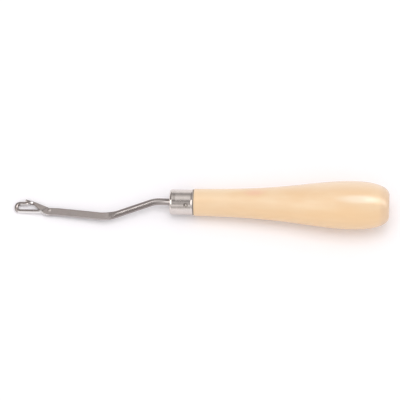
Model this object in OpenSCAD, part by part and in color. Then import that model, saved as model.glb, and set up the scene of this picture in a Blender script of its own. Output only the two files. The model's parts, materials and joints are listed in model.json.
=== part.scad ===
// Latch hook for rug making: a cranked steel shank in a ferruled wooden handle,
// with a hook at its end and a riveted latch that closes the hook.
//
// Every piece is drawn on the tool's own axis: x runs along the handle and grows
// towards the butt, x = 0 is the front face of the ferrule, and the crank of the
// shank lies in the xy plane, with the elbow towards -y and the open side of the
// hook towards +y. lying() then lays the tool on the table, where the bulge of the
// handle, the rim of the ferrule and the bend of the hook touch z = 0.

/* [Handle] */
// Length of the wood from the ferrule to the flat butt
handle_len = 85.9; // [75:0.1:110]
// Diameter of the wood where it meets the ferrule
neck_d = 12; // [11.8:0.1:14]
// Largest diameter of the handle
bulge_d = 21.3; // [17:0.1:26]
// Distance of the largest diameter from the ferrule
bulge_at = 69.5; // [58:0.5:70]
// Length over which the neck keeps its slim run
neck_run = 42; // [28:0.5:46]
// Length over which the bulge swells out in front of its top
bulge_run = 17; // [8:0.5:20]
// Length over which the bulge stays full behind its top
butt_run = 13; // [9:0.5:17]
// Diameter of the flat disc on the butt
butt_flat_d = 9.6; // [6:0.1:13]
// How far the butt edge rises square from the flat before it rounds off
butt_rise = 2.5; // [2:0.1:5]
// Chamfer on the edge of the wood at the ferrule
neck_chamfer = 0.25; // [0.1:0.05:0.5]

/* [Ferrule] */
// Length of the ferrule
ferrule_len = 10.8; // [8:0.1:16]
// Outer diameter of the ferrule
ferrule_d = 11.15; // [10:0.05:11.4]
// Thickness of the sheet it is drawn from
ferrule_wall = 0.5; // [0.3:0.05:0.8]
// Outer rounding of its front edge
ferrule_round = 1.2; // [1:0.05:1.4]
// Width of the rolled bead at its back edge
bead_w = 1.2; // [0.8:0.05:2]
// How far the bead stands proud
bead_h = 0.15; // [0.05:0.01:0.25]
// Gap round the shank in the front hole, on the radius
collar_gap = 0.1; // [0.05:0.01:0.3]
// Gap between the wooden spigot and the front wall
spigot_gap = 0.2; // [0.05:0.05:1]
// Diameter of the punched dimple that locks the ferrule
dimple_d = 1.7; // [1:0.1:2.4]
// Depth of that dimple
dimple_depth = 0.25; // [0.1:0.01:0.4]
// Distance of the dimple from the front of the ferrule
dimple_at = 7.4; // [4:0.1:7.5]
// Turn of the dimple round the ferrule, from the top of the tool
dimple_turn = 34; // [0:1:60]

/* [Shank] */
// Diameter of the steel rod
rod_d = 3; // [2.6:0.1:3]
// Length of the tang, from the front of the ferrule
tang_len = 45; // [30:1:60]
// Diameter of the tang, upset a little so that it grips the wood
tang_d = 3.1; // [3.05:0.05:3.4]
// Chamfer on the end of the tang
tang_chamfer = 0.5; // [0.2:0.1:0.9]
// Distance from the ferrule to the corner of the first bend
neck_len = 6.6; // [6:0.1:12]
// Angle of the slanted leg to the handle's axis
leg_angle = 20.9; // [16:0.1:26]
// Centre line radius of the first bend
upper_bend_r = 11; // [6:0.5:16]
// Centre line radius of the elbow
elbow_r = 19; // [12:0.5:24]
// Angle of the stem, which comes back towards the axis
stem_angle = 4.9; // [3.5:0.1:7]
// Distance from the ferrule to the latch rivet
pivot_reach = 53; // [48:0.5:60]
// How far the stem's centre line lies below the handle's axis at the hook
hook_drop = 5.7; // [4.5:0.1:7]

/* [Flattened stem] */
// Height of the stem in the plane of the crank
stem_h = 3.4; // [3.1:0.05:3.8]
// Thickness between the two pressed flats
stem_t = 2; // [1.7:0.05:2.4]
// Length of the elbow over which the round leg turns flat
flat_fade = 4; // [2:0.1:6]
// Distance from the rivet to the slight bend behind it
kink_back = 3.5; // [2.5:0.1:5]
// Centre line radius of that slight bend
kink_r = 20; // [10:1:25]
// Distance from the rivet to the start of the taper in front of it
head_front = 0.8; // [0.75:0.05:1.5]
// Length of the taper from the stem to the hook wire
head_taper = 3; // [2:0.1:4]

/* [Hook] */
// Diameter of the hook wire
hook_wire_d = 1.7; // [1.4:0.05:2]
// Distance between the centre lines of the two runs of the hook
hook_gap = 3.5; // [3.2:0.05:4]
// Distance from the rivet to the centre of the hook bend
hook_reach = 12.9; // [12:0.1:14]
// Length of the returning run, from the bend to the end of the tip
tip_len = 4.7; // [4:0.1:5]
// Length over which the tip tapers
tip_taper = 2; // [1.2:0.1:2.6]
// Diameter of the rounded end of the tip
tip_d = 0.9; // [0.6:0.05:1.2]

/* [Latch slot] */
// Width of the sawn slot
slot_w = 0.95; // [0.9:0.01:1.1]
// Diameter of the saw that cuts it
saw_d = 24; // [23:0.5:30]
// Distance of the saw's centre behind the rivet
saw_back = 1.5; // [1:0.1:2.2]
// Steel left under the slot at its deepest
slot_floor = 0.6; // [0.4:0.05:0.7]

/* [Latch] */
// Thickness of the latch blade
latch_t = 0.85; // [0.6:0.01:0.88]
// Depth of the blade round the rivet
blade_h = 2.4; // [2.1:0.05:2.5]
// Length of the blade that keeps this depth
blade_run = 4.6; // [4.5:0.1:6]
// Distance from the rivet to the narrow neck of the latch
latch_neck_at = 8; // [7.6:0.05:8.2]
// Depth of the latch at its neck
latch_neck_h = 1; // [0.7:0.05:1.2]
// Angle of the closed latch to the hook wire
latch_angle = 21.8; // [21:0.1:22.5]
// Height of the rivet above the centre line of the stem
pivot_rise = 0.4; // [0.3:0.05:0.5]
// Inner radius of the spoon
spoon_r = 0.85; // [0.83:0.01:0.9]
// Wall of the spoon
spoon_wall = 0.22; // [0.2:0.01:0.3]
// Length of the spoon in front of the neck
spoon_len = 3.45; // [3:0.05:3.6]
// Angle at which the spoon droops from the blade
spoon_droop = 7; // [4:0.5:9]
// How far the spoon's lip flares outwards
lip_flare = 0.12; // [0:0.01:0.2]
// How far the sides of the spoon reach past its centre line
spoon_skirt = 0.35; // [0.1:0.01:0.4]

/* [Rivet] */
// Diameter of the rivet
rivet_d = 1; // [0.8:0.05:1.2]
// Running clearance round the rivet in the latch, on the radius
rivet_gap = 0.05; // [0.02:0.01:0.08]
// Diameter of each rivet head
rivet_head_d = 1.6; // [1.4:0.05:2]
// Height of each rivet head
rivet_head_h = 0.16; // [0.1:0.01:0.3]

/* [Hidden] */
$fn = 64;
over = 1;

ferrule_r = ferrule_d / 2;
bore_r = ferrule_r - ferrule_wall;
inner_round = ferrule_round - ferrule_wall;
rod_r = rod_d / 2;
tang_r = tang_d / 2;
wood_front = ferrule_wall + spigot_gap;
stem_r = stem_h / 2;
flat_z = stem_t / 2;
wire_r = hook_wire_d / 2;
tip_r = tip_d / 2;
blade_r = blade_h / 2;

// Outline of the wood as [x, radius], two smooth curves that meet at the bulge
grip_steps = 24;
butt_steps = 16;
function bezier(a, b, c, d, steps) = [
    for (i = [0:steps])
        let (t = i / steps, s = 1 - t)
        s * s * s * a + 3 * s * s * t * b + 3 * s * t * t * c + t * t * t * d
];
seam = [ferrule_len, neck_d / 2];
bulge = [ferrule_len + bulge_at, bulge_d / 2];
butt = [ferrule_len + handle_len, butt_flat_d / 2];
grip = bezier(seam, seam + [neck_run, 0], bulge - [bulge_run, 0], bulge, grip_steps);
round_end = bezier(bulge, bulge + [butt_run, 0], butt + [0, butt_rise], butt, butt_steps);
wood = concat(grip, round_end);

// Corners of the crank, each with the length from the corner to where its bend starts
leg_dir = [-cos(leg_angle), -sin(leg_angle)];
stem_dir = [-cos(stem_angle), sin(stem_angle)];
upper_tangent = upper_bend_r * tan(leg_angle / 2);
elbow_tangent = elbow_r * tan((leg_angle + stem_angle) / 2);
kink_tangent = kink_r * tan(stem_angle / 2);
pivot = [-pivot_reach, pivot_rise - hook_drop];
kink = [kink_back - pivot_reach, -hook_drop];
// The elbow's corner is where the leg's line and the stem's line cross
elbow_x = (hook_drop - kink.x * tan(stem_angle) + neck_len * tan(leg_angle))
    / (tan(leg_angle) + tan(stem_angle));
elbow = [-elbow_x, -(elbow_x - neck_len) * tan(leg_angle)];
leg_end = elbow - elbow_tangent * leg_dir;
stem_end = kink - kink_tangent * stem_dir;
head_end = [-pivot_reach - head_front, -hook_drop];

// The hook: its lower run, its bend and the returning run with the tip
hook_x = -pivot_reach - hook_reach;
bend_r = hook_gap / 2;
hook_y = -hook_drop + bend_r;
return_y = hook_y + bend_r;
tip_x = hook_x + tip_len;

// Stations along the steel rod, from the ferrule to the tip of the hook. Each has
// its centre, its heading, its radius in the crank's plane and its half thickness.
degrees_per_ring = 4;
hook_steps = 18;
head_steps = 4;
tip_steps = 5;
function side(heading) = [-sin(heading), cos(heading)];
function bend_stations(start, from, to, radius, steps, r, half) =
    let (way = sign(to - from), centre = start + way * radius * side(from))
    [for (i = [0:steps])
        let (heading = from + (to - from) * i / steps)
        [centre - way * radius * side(heading), heading, r, half]];
function rings(turn) = ceil(abs(turn) / degrees_per_ring);
function mix(a, b, t) = a + (b - a) * t;
neck_stations = concat(
    [[[wood_front + over, 0], 180, rod_r, rod_r]],
    bend_stations([upper_tangent - neck_len, 0], 180, 180 + leg_angle, upper_bend_r,
        rings(leg_angle), rod_r, rod_r)
);
// The rod turns from round to flattened in the first stretch of the elbow
elbow_stations = [
    for (s = bend_stations(leg_end, 180 + leg_angle, 180 - stem_angle, elbow_r,
            rings(leg_angle + stem_angle), rod_r, rod_r))
        let (t = min(1, norm(s[0] - leg_end) / flat_fade))
        [s[0], s[1], mix(rod_r, stem_r, t), mix(rod_r, flat_z, t)]
];
kink_stations = bend_stations(stem_end, 180 - stem_angle, 180, kink_r,
    rings(stem_angle), stem_r, flat_z);
// In front of the rivet the head tapers to the hook wire
head_stations = [
    for (i = [0:head_steps])
        let (t = i / head_steps)
        [head_end - [head_taper * t, 0], 180, mix(stem_r, wire_r, t), flat_z]
];
// The tip tapers on its inner side only and ends in a dome
tip_stations = concat(
    [for (i = [0:tip_steps])
        let (t = i / tip_steps, r = mix(wire_r, tip_r, t))
        [[tip_x - tip_r - (1 - t) * (tip_taper - tip_r), return_y + wire_r - r], 0, r, r]],
    [for (i = [1:tip_steps])
        let (a = 80 * i / tip_steps)
        [[tip_x - tip_r * (1 - sin(a)), return_y + wire_r - tip_r], 0, tip_r * cos(a), tip_r]]
);
rod_stations = concat(
    neck_stations,
    elbow_stations,
    kink_stations,
    head_stations,
    bend_stations([hook_x, -hook_drop], 180, 0, bend_r, hook_steps, wire_r, wire_r),
    tip_stations
);

// The saw that cuts the slot
saw_r = saw_d / 2;
saw_centre = [-pivot_reach + saw_back, -hook_drop - stem_r + slot_floor + saw_r];

// The spoon: its back is a quarter of an ellipse, and so is its hollow
spoon_outer = spoon_r + spoon_wall;
spoon_axis_v = 0.2;
spoon_back_len = 1.9;
spoon_back_start = -0.6;
hollow_back_len = 0.8;
hollow_start = 0.8;
flare_len = 0.7;
blade_overlap = 0.4;
spoon_arc_steps = 8;

// How the tool lies. The line under the handle touches the bulge and either the
// ferrule's rounded rim or, on a long shank, the hook itself.
function slope_under(p, centre, r) =
    let (d = p - centre) atan2(d.y, d.x) - asin(r / norm(d));
rim = [ferrule_round, ferrule_r - ferrule_round];
rim_tilt = max([for (p = wood) slope_under(p, rim, ferrule_round)]);
hook_tilt = max([for (p = wood) slope_under(p, [hook_x - bend_r, 0], wire_r)]);
tilt = min(rim_tilt, hook_tilt);
lift = max([for (p = wood) p.y * cos(tilt) - p.x * sin(tilt)]);
// The tool then rolls until the outside of the hook bend meets the table
bend_height = lift + hook_x * sin(tilt) - wire_r;
roll_a = pow(hook_y, 2) - pow(bend_r, 2);
roll_b = bend_height * abs(hook_y);
roll_c = pow(bend_height, 2) - pow(bend_r * sin(tilt), 2);
roll_sine = (roll_b - sqrt(max(0, roll_b * roll_b - roll_a * roll_c))) / roll_a / cos(tilt);
roll = asin(max(0, roll_sine));
// The middle of its length goes to x = 0
hook_end = hook_x * cos(tilt) - hook_y * sin(tilt) * sin(roll) - wire_r
    - bend_r * sqrt(pow(cos(tilt), 2) + pow(sin(tilt) * sin(roll), 2));
butt_end = max([for (p = wood) p.x * cos(tilt) + p.y * sin(tilt)]);
shift = -(hook_end + butt_end) / 2;

module lying() {
    translate([shift, 0, lift])
        rotate([0, -tilt, 0])
            rotate([roll, 0, 0])
                children();
}

// The same move for one point or direction of the tool, for the report
function turned(p) =
    let (y = p.y * cos(roll) - p.z * sin(roll), z = p.y * sin(roll) + p.z * cos(roll))
    [p.x * cos(tilt) - z * sin(tilt), y, p.x * sin(tilt) + z * cos(tilt)];
echo(tilt = tilt, roll = roll, length = butt_end - hook_end);
echo(pivot_at = turned([pivot.x, pivot.y, 0]) + [shift, 0, lift]);
echo(pivot_axis = turned([0, 0, -1]));
echo(butt_at = turned([butt.x, 0, 0]) + [shift, 0, lift]);
echo(butt_normal = turned([1, 0, 0]));

// A solid of revolution round the tool's axis, from an outline of [x, radius]
module turn_on_axis(outline) {
    rotate([0, 90, 0])
        rotate([0, 0, 90])
            rotate_extrude()
                polygon([for (p = outline) [p.y, p.x]]);
}

// A hole on the tool's axis that ends in a drill point
module drilled(from, to, r) {
    rotate([0, 90, 0]) {
        translate([0, 0, from])
            cylinder(h = to - from, r = r);
        translate([0, 0, to])
            cylinder(h = r, r1 = r, r2 = 0);
    }
}

// The wood, from the spigot in the ferrule to the butt, with the hole for the tang.
// The spigot's chamfer clears the rounding inside the ferrule.
module handle() {
    hole_end = tang_len + over;
    lying()
        color("#f2d3a6")
        difference() {
            turn_on_axis(concat(
                [[wood_front, 0], [wood_front, bore_r - inner_round]],
                [[wood_front + inner_round, bore_r], [ferrule_len, bore_r]],
                [[ferrule_len, seam.y - neck_chamfer]],
                [[ferrule_len + neck_chamfer, seam.y]],
                [for (i = [1:len(grip) - 1]) grip[i]],
                [for (i = [1:len(round_end) - 1]) round_end[i]],
                [[butt.x, 0]]
            ));
            drilled(wood_front - over, hole_end, tang_r);
        }
}

// A drawn cup with a rolled bead, pushed over the spigot and locked by a dimple
module ferrule() {
    hole_r = rod_r + collar_gap;
    steps = 6;
    bead_r = (pow(bead_w / 2, 2) + pow(bead_h, 2)) / (2 * bead_h);
    bead_half = asin(bead_w / 2 / bead_r);
    bead_mid = [ferrule_len - bead_w / 2, ferrule_r + bead_h - bead_r];
    dimple_r = (pow(dimple_d / 2, 2) + pow(dimple_depth, 2)) / (2 * dimple_depth);
    lying()
        color("#b9b6b1")
        difference() {
            turn_on_axis(concat(
                [[0, hole_r]],
                [for (i = [0:steps])
                    let (a = 90 * i / steps) rim + ferrule_round * [-cos(a), sin(a)]],
                [for (i = [0:steps])
                    let (a = bead_half * (2 * i / steps - 1))
                    bead_mid + bead_r * [sin(a), cos(a)]],
                [[ferrule_len, bore_r]],
                [for (i = [0:steps])
                    let (a = 90 * i / steps) rim + inner_round * [-sin(a), cos(a)]],
                [[ferrule_wall, hole_r]]
            ));
            rotate([dimple_turn, 0, 0])
                translate([dimple_at, 0, ferrule_r + dimple_r - dimple_depth])
                    sphere(r = dimple_r);
        }
}

// The steel rod swept through its stations. Its section is a circle with two flats:
// where the circle is thicker than the station's half thickness, it is pressed flat.
module swept_rod(stations, sides) {
    count = len(stations);
    points = [
        for (s = stations, i = [0:sides - 1])
            let (a = 360 * i / sides)
            let (across = s[0] + s[2] * cos(a) * side(s[1]))
            let (up = max(-s[3], min(s[3], s[2] * sin(a))))
            [across.x, across.y, up]
    ];
    skin = [
        for (k = [0:count - 2], i = [0:sides - 1])
            let (j = (i + 1) % sides, here = k * sides, next = (k + 1) * sides)
            for (f = [[here + i, next + j, here + j], [here + i, next + i, next + j]]) f
    ];
    first_end = [for (i = [0:sides - 1]) i];
    last_end = [for (i = [0:sides - 1]) count * sides - 1 - i];
    polyhedron(points = points, faces = concat(skin, [first_end, last_end]));
}

// The straight tang in the wood, with a chamfered end
module tang() {
    round_len = tang_len - tang_chamfer - wood_front;
    translate([wood_front, 0, 0])
        rotate([0, 90, 0]) {
            cylinder(h = round_len, r = tang_r);
            translate([0, 0, round_len])
                cylinder(h = tang_chamfer, r1 = tang_r, r2 = tang_r - tang_chamfer);
        }
}

// One length of steel: tang, crank, flattened and slotted stem, and hook
module shank() {
    rod_sides = 24;
    lying()
        color("#8f8a85")
        difference() {
            union() {
                tang();
                swept_rod(rod_stations, rod_sides);
            }
            translate([saw_centre.x, saw_centre.y, -slot_w / 2])
                cylinder(h = slot_w, r = saw_r);
            translate([pivot.x, pivot.y, -stem_t])
                cylinder(h = 2 * stem_t, d = rivet_d);
        }
}

// The spoon of the latch, turned round its own drooping centre line
module spoon() {
    reach = 2 * spoon_len;
    outer = concat(
        [for (i = [0:spoon_arc_steps])
            let (a = 90 * i / spoon_arc_steps)
            [spoon_back_start + spoon_back_len * (1 - cos(a)), spoon_outer * sin(a)]],
        [[spoon_len - flare_len, spoon_outer], [spoon_len, spoon_outer + lip_flare]]
    );
    hollow = concat(
        [[spoon_len, spoon_r + lip_flare], [spoon_len - flare_len, spoon_r]],
        [for (i = [0:spoon_arc_steps])
            let (a = 90 - 90 * i / spoon_arc_steps)
            [hollow_start + hollow_back_len * (1 - cos(a)), spoon_r * sin(a)]]
    );
    translate([latch_neck_at, spoon_axis_v, 0])
        rotate([0, 0, -spoon_droop])
            difference() {
                turn_on_axis(concat(outer, hollow));
                translate([-reach, -reach - spoon_skirt, -reach])
                    cube([2 * reach, reach, 2 * reach]);
            }
}

// The blade of the latch, from the eye round the rivet to the neck
module blade() {
    steps = 8;
    translate([0, 0, -latch_t / 2])
        linear_extrude(latch_t)
            polygon(concat(
                [for (i = [0:steps])
                    let (a = 90 + 180 * i / steps) blade_r * [cos(a), sin(a)]],
                [[blade_run, -blade_r]],
                [[latch_neck_at, blade_r - latch_neck_h]],
                [[latch_neck_at + blade_overlap, blade_r - latch_neck_h]],
                [[latch_neck_at + blade_overlap, blade_r]]
            ));
}

// The latch, closed over the hook
module latch() {
    lying()
        color("#a39d97")
        translate([pivot.x, pivot.y, 0])
            mirror([1, 0, 0])
                rotate([0, 0, latch_angle])
                    difference() {
                        union() {
                            blade();
                            spoon();
                        }
                        translate([0, 0, -latch_t])
                            cylinder(h = 2 * latch_t, r = rivet_d / 2 + rivet_gap);
                    }
}

// A low dome on the flat of the stem
module rivet_head() {
    dome_r = (pow(rivet_head_d / 2, 2) + pow(rivet_head_h, 2)) / (2 * rivet_head_h);
    translate([0, 0, flat_z])
        intersection() {
            translate([0, 0, rivet_head_h - dome_r])
                sphere(r = dome_r);
            cylinder(h = dome_r, r = rivet_head_d);
        }
}

// The rivet, peened over on both flats
module latch_rivet() {
    lying()
        color("#7d7873")
        translate([pivot.x, pivot.y, 0]) {
            translate([0, 0, -flat_z])
                cylinder(h = stem_t, d = rivet_d);
            rivet_head();
            mirror([0, 0, 1])
                rivet_head();
        }
}

handle();
ferrule();
shank();
latch();
latch_rivet();
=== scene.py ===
"""Dresses the latch hook: lacquered wood, a nickel ferrule, a drawn steel shank, its latch and the rivet."""

import json
import logging
import math
from collections.abc import Sequence
from dataclasses import dataclass, field
from enum import Enum
from typing import Any, ClassVar

import bmesh
import bpy
from mathutils import Matrix, Vector


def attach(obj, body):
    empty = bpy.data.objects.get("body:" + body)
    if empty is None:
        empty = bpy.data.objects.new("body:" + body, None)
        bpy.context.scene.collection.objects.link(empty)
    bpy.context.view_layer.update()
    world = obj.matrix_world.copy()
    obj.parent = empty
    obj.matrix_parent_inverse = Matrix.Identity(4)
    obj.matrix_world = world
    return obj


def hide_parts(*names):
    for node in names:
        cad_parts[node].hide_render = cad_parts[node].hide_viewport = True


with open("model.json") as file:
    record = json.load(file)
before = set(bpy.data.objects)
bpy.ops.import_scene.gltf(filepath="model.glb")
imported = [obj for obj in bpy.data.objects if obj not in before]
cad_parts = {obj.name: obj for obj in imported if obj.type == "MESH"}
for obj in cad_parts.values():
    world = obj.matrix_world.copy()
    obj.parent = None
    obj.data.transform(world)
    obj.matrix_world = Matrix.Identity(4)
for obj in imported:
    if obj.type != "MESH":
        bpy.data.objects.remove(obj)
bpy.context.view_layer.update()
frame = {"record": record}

LOG = logging.getLogger("latch_hook")
MM = 0.001
TINY = 1e-6

Colour = tuple[float, float, float]
Place = tuple[float, float, float]
Point = tuple[float, float]
Span = tuple[float, float]
Weights = tuple[float, ...]
Outline = Sequence[Point]


class Body(Enum):
    """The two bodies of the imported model."""

    TOOL = "tool"
    LATCH = "latch"


@dataclass(frozen=True)
class Wire:
    """An output socket that takes part in Python arithmetic.

    Args:
        graph: the node graph that the socket belongs to.
        socket: the output socket, or None for a node without one.
    """

    graph: "Graph"
    socket: bpy.types.NodeSocket | None

    def _math(self, operation: str, *values: "Wire | float") -> "Wire":
        """Adds one Math node and returns its result."""
        return self.graph.add("ShaderNodeMath", {"operation": operation}, dict(enumerate(values)))

    def __add__(self, other: "Wire | float") -> "Wire":
        """Sum."""
        return self._math("ADD", self, other)

    __radd__ = __add__

    def __sub__(self, other: "Wire | float") -> "Wire":
        """Difference."""
        return self._math("SUBTRACT", self, other)

    def __rsub__(self, other: float) -> "Wire":
        """Difference with a number on the left."""
        return self._math("SUBTRACT", other, self)

    def __mul__(self, other: "Wire | float") -> "Wire":
        """Product."""
        return self._math("MULTIPLY", self, other)

    __rmul__ = __mul__

    def __truediv__(self, other: "Wire | float") -> "Wire":
        """Quotient."""
        return self._math("DIVIDE", self, other)

    def __abs__(self) -> "Wire":
        """Absolute value."""
        return self._math("ABSOLUTE", self)

    def sine(self) -> "Wire":
        """Sine of a value in radians."""
        return self._math("SINE", self)

    def sign(self) -> "Wire":
        """Sign."""
        return self._math("SIGN", self)

    def angle_from(self, other: "Wire") -> "Wire":
        """Angle of the point (other, self) in radians."""
        return self._math("ARCTAN2", self, other)

    def smooth_min(self, other: "Wire | float", distance: "Wire | float") -> "Wire":
        """The smaller of two values, with a rounded change between them."""
        return self._math("SMOOTH_MIN", self, other, distance)

    def ramp(self, low: float, high: float) -> "Wire":
        """Smooth step between two values.

        Args:
            low: the value that gives 0.
            high: the value that gives 1, which may be the smaller one.

        Returns:
            The step, from 0 to 1.
        """
        if low > high:
            return 1 - self.ramp(high, low)
        settings = {"interpolation_type": "SMOOTHSTEP", "clamp": True}
        inputs = {"Value": self, "From Min": low, "From Max": high}
        return self.graph.add("ShaderNodeMapRange", settings, inputs)

    def beside(self, output: str | int) -> "Wire":
        """Another output of the same node, by name or index."""
        return Wire(self.graph, self.socket.node.outputs[output])


class Graph:
    """Adds nodes to one node tree."""

    def __init__(self, tree: bpy.types.NodeTree) -> None:
        """Starts on a tree that is to be filled."""
        self.tree = tree

    def add(
        self,
        kind: str,
        settings: dict[str, Any] | None = None,
        inputs: dict[str | int, Any] | None = None,
        out: str | int = 0,
    ) -> Wire:
        """Adds a node, sets it up and links it.

        Args:
            kind: Blender's name of the node type.
            settings: properties of the node, set first; "stops" are a ramp's (place, colour) pairs.
            inputs: values or wires by socket name, identifier or index.
            out: name, identifier or index of the output that is returned.

        Returns:
            The chosen output.
        """
        node = self.tree.nodes.new(kind)
        for name, value in (settings or {}).items():
            if name == "stops":
                self._set_stops(node.color_ramp, value)
            else:
                setattr(node, name, value)
        for key, value in (inputs or {}).items():
            self._feed(self._socket(node.inputs, key), value)
        return Wire(self, self._socket(node.outputs, out) if node.outputs else None)

    def _set_stops(self, ramp: bpy.types.ColorRamp, stops: Sequence[tuple[float, Colour]]) -> None:
        """Gives a colour ramp its stops.

        Args:
            ramp: the ramp.
            stops: places from 0 to 1, each with its colour.
        """
        while len(ramp.elements) < len(stops):
            ramp.elements.new(1.0)
        for element, (place, colour) in zip(ramp.elements, stops, strict=True):
            element.position = place
            element.color = (*colour, 1.0)

    def _feed(self, socket: bpy.types.NodeSocket, value: Any) -> None:
        """Links a wire to a socket, or sets its value.

        Args:
            socket: the input socket.
            value: a wire, a number, a vector or a colour.
        """
        if isinstance(value, Wire):
            self.tree.links.new(value.socket, socket)
        elif isinstance(value, tuple) and len(value) == 3 and socket.type == "RGBA":
            socket.default_value = (*value, 1.0)
        else:
            socket.default_value = value

    @staticmethod
    def _socket(sockets: Sequence[bpy.types.NodeSocket], key: str | int) -> bpy.types.NodeSocket:
        """Finds a socket.

        Args:
            sockets: the node's inputs or outputs.
            key: the socket's index, identifier or name.

        Returns:
            The socket.
        """
        if isinstance(key, int):
            return sockets[key]
        exact = [s for s in sockets if s.identifier == key]
        return exact[0] if exact else next(s for s in sockets if s.name == key)

    def blend(self, share: Wire | float, a: Any, b: Any) -> Wire:
        """Mixes two colours; a share of 0 gives a and 1 gives b."""
        inputs = {"Factor_Float": share, "A_Color": a, "B_Color": b}
        return self.add("ShaderNodeMix", {"data_type": "RGBA"}, inputs, "Result_Color")

    def layered(self, ground: Any, *layers: tuple[Wire, Any]) -> Wire:
        """Lays colours over a ground.

        Args:
            ground: the lowest colour.
            layers: (share, colour) pairs, from the lowest layer to the top one.

        Returns:
            The colour that shows.
        """
        colour = ground
        for share, top in layers:
            colour = self.blend(share, colour, top)
        return colour

    def weighed(self, base: float, weights: Weights, *patterns: Wire) -> Wire:
        """The patterns, each times its weight, added to a base value."""
        first, *others = (pattern * weight for pattern, weight in zip(patterns, weights, strict=True))
        return sum(others, first) + base if base else sum(others, first)

    def stretched(self, place: Wire, factors: Place) -> Wire:
        """A place multiplied along each axis."""
        inputs = {0: place, 1: factors}
        return self.add("ShaderNodeVectorMath", {"operation": "MULTIPLY"}, inputs, "Vector")

    def parts(self, place: Wire) -> tuple[Wire, Wire, Wire]:
        """The three coordinates of a place."""
        first = self.add("ShaderNodeSeparateXYZ", {}, {0: place})
        return first, first.beside(1), first.beside(2)


@dataclass(frozen=True)
class Run:
    """A stretch that fades in and, if it has a far end, out again.

    Args:
        rise: the value where it is 0 and the value where it is 1.
        fall: the same at its far end.
    """

    rise: Span
    fall: Span | None = None

    def share(self, value: Wire) -> Wire:
        """How far a value lies in the stretch, from 0 to 1."""
        risen = value.ramp(*self.rise)
        return risen * value.ramp(*self.fall) if self.fall else risen


@dataclass(frozen=True)
class Grain:
    """A noise pattern.

    Args:
        waves: waves per unit of length along each axis.
        detail: number of finer layers.
        rough: strength of the finer layers.
    """

    waves: Place
    detail: float = 2.0
    rough: float = 0.5

    def on(self, graph: Graph, place: Wire) -> Wire:
        """The pattern at a place, from 0 to 1 round 0.5.

        Args:
            graph: the material's graph.
            place: the place.

        Returns:
            The pattern's value.
        """
        spot = graph.stretched(place, self.waves)
        inputs = {"Vector": spot, "Scale": 1.0, "Detail": self.detail, "Roughness": self.rough}
        return graph.add("ShaderNodeTexNoise", {}, inputs, "Fac")


@dataclass(frozen=True)
class ToolAxes:
    """The tool's own axes as it lies on the table: x along the handle, the crank in the xy plane.

    Args:
        matrix: from millimetres on the tool's axes to metres on the frame's.
    """

    matrix: Matrix

    @classmethod
    def from_record(cls, record: dict[str, Any], butt_at: float) -> "ToolAxes":
        """Reads the axes from the butt's mount and the latch's hinge.

        Args:
            record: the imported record.
            butt_at: distance of the butt from the front of the ferrule, in mm.

        Returns:
            The tool's axes.
        """
        butt = next(m for m in record["mounts"] if m["name"] == "butt_end")
        hinge = record["behaviour"]["joints"][0]
        along = Vector(butt["axis"]).normalized()
        across = (-Vector(hinge["axis"])).cross(along).normalized()
        up = along.cross(across)
        turn = Matrix((along, across, up)).transposed().to_4x4()
        origin = Vector(butt["pos_m"]) - along * butt_at * MM
        return cls(Matrix.Translation(origin) @ turn @ Matrix.Scale(MM, 4))

    def place_in(self, graph: Graph) -> Wire:
        """Coordinates in mm on the tool's axes, from the piece's Object coordinates.

        Args:
            graph: the material's graph.

        Returns:
            The coordinates as one vector.
        """
        back = self.matrix.inverted()
        inputs = {
            "Vector": graph.add("ShaderNodeTexCoord", {}, {}, "Object"),
            "Location": tuple(back.translation),
            "Rotation": tuple(back.to_quaternion().to_euler("XYZ")),
            "Scale": (1 / MM,) * 3,
        }
        return graph.add("ShaderNodeMapping", {"vector_type": "POINT"}, inputs, "Vector")


@dataclass(frozen=True)
class Finish:
    """A material that is built on the tool's axes, with its places in mm.

    Args:
        axes: the tool's axes.
    """

    axes: ToolAxes

    name: ClassVar[str] = "finish"

    def material(self) -> bpy.types.Material:
        """Builds the material.

        Returns:
            The material, with its shader linked to its output.
        """
        made = bpy.data.materials.new(self.name)
        made.use_nodes = True
        made.node_tree.nodes.clear()
        graph = Graph(made.node_tree)
        graph.add("ShaderNodeOutputMaterial", {}, {"Surface": self.surface(graph)})
        return made

    def surface(self, graph: Graph) -> Wire:
        """The shader, from what sockets() gives it."""
        return graph.add("ShaderNodeBsdfPrincipled", {}, self.sockets(graph), "BSDF")

    def sockets(self, graph: Graph) -> dict[str | int, Any]:
        """What the main shader gets at each socket."""
        raise NotImplementedError

    @staticmethod
    def bump(graph: Graph, height: Wire, depth: float) -> Wire:
        """A normal from a height of 0 to 1 that stands for a depth in metres."""
        inputs = {"Height": height, "Distance": depth, "Strength": 1.0}
        return graph.add("ShaderNodeBump", {}, inputs, "Normal")

    @staticmethod
    def reach(graph: Graph, place: Wire, centre: Place, factors: Place = (1.0, 1.0, 1.0)) -> Wire:
        """How far a place lies from a centre.

        Args:
            graph: the material's graph.
            place: the place.
            centre: the centre.
            factors: how much a step along each axis counts.

        Returns:
            The distance.
        """
        step = graph.add("ShaderNodeVectorMath", {"operation": "SUBTRACT"}, {0: place, 1: centre}, "Vector")
        counted = graph.stretched(step, factors)
        return graph.add("ShaderNodeVectorMath", {"operation": "LENGTH"}, {0: counted}, "Value")


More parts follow.
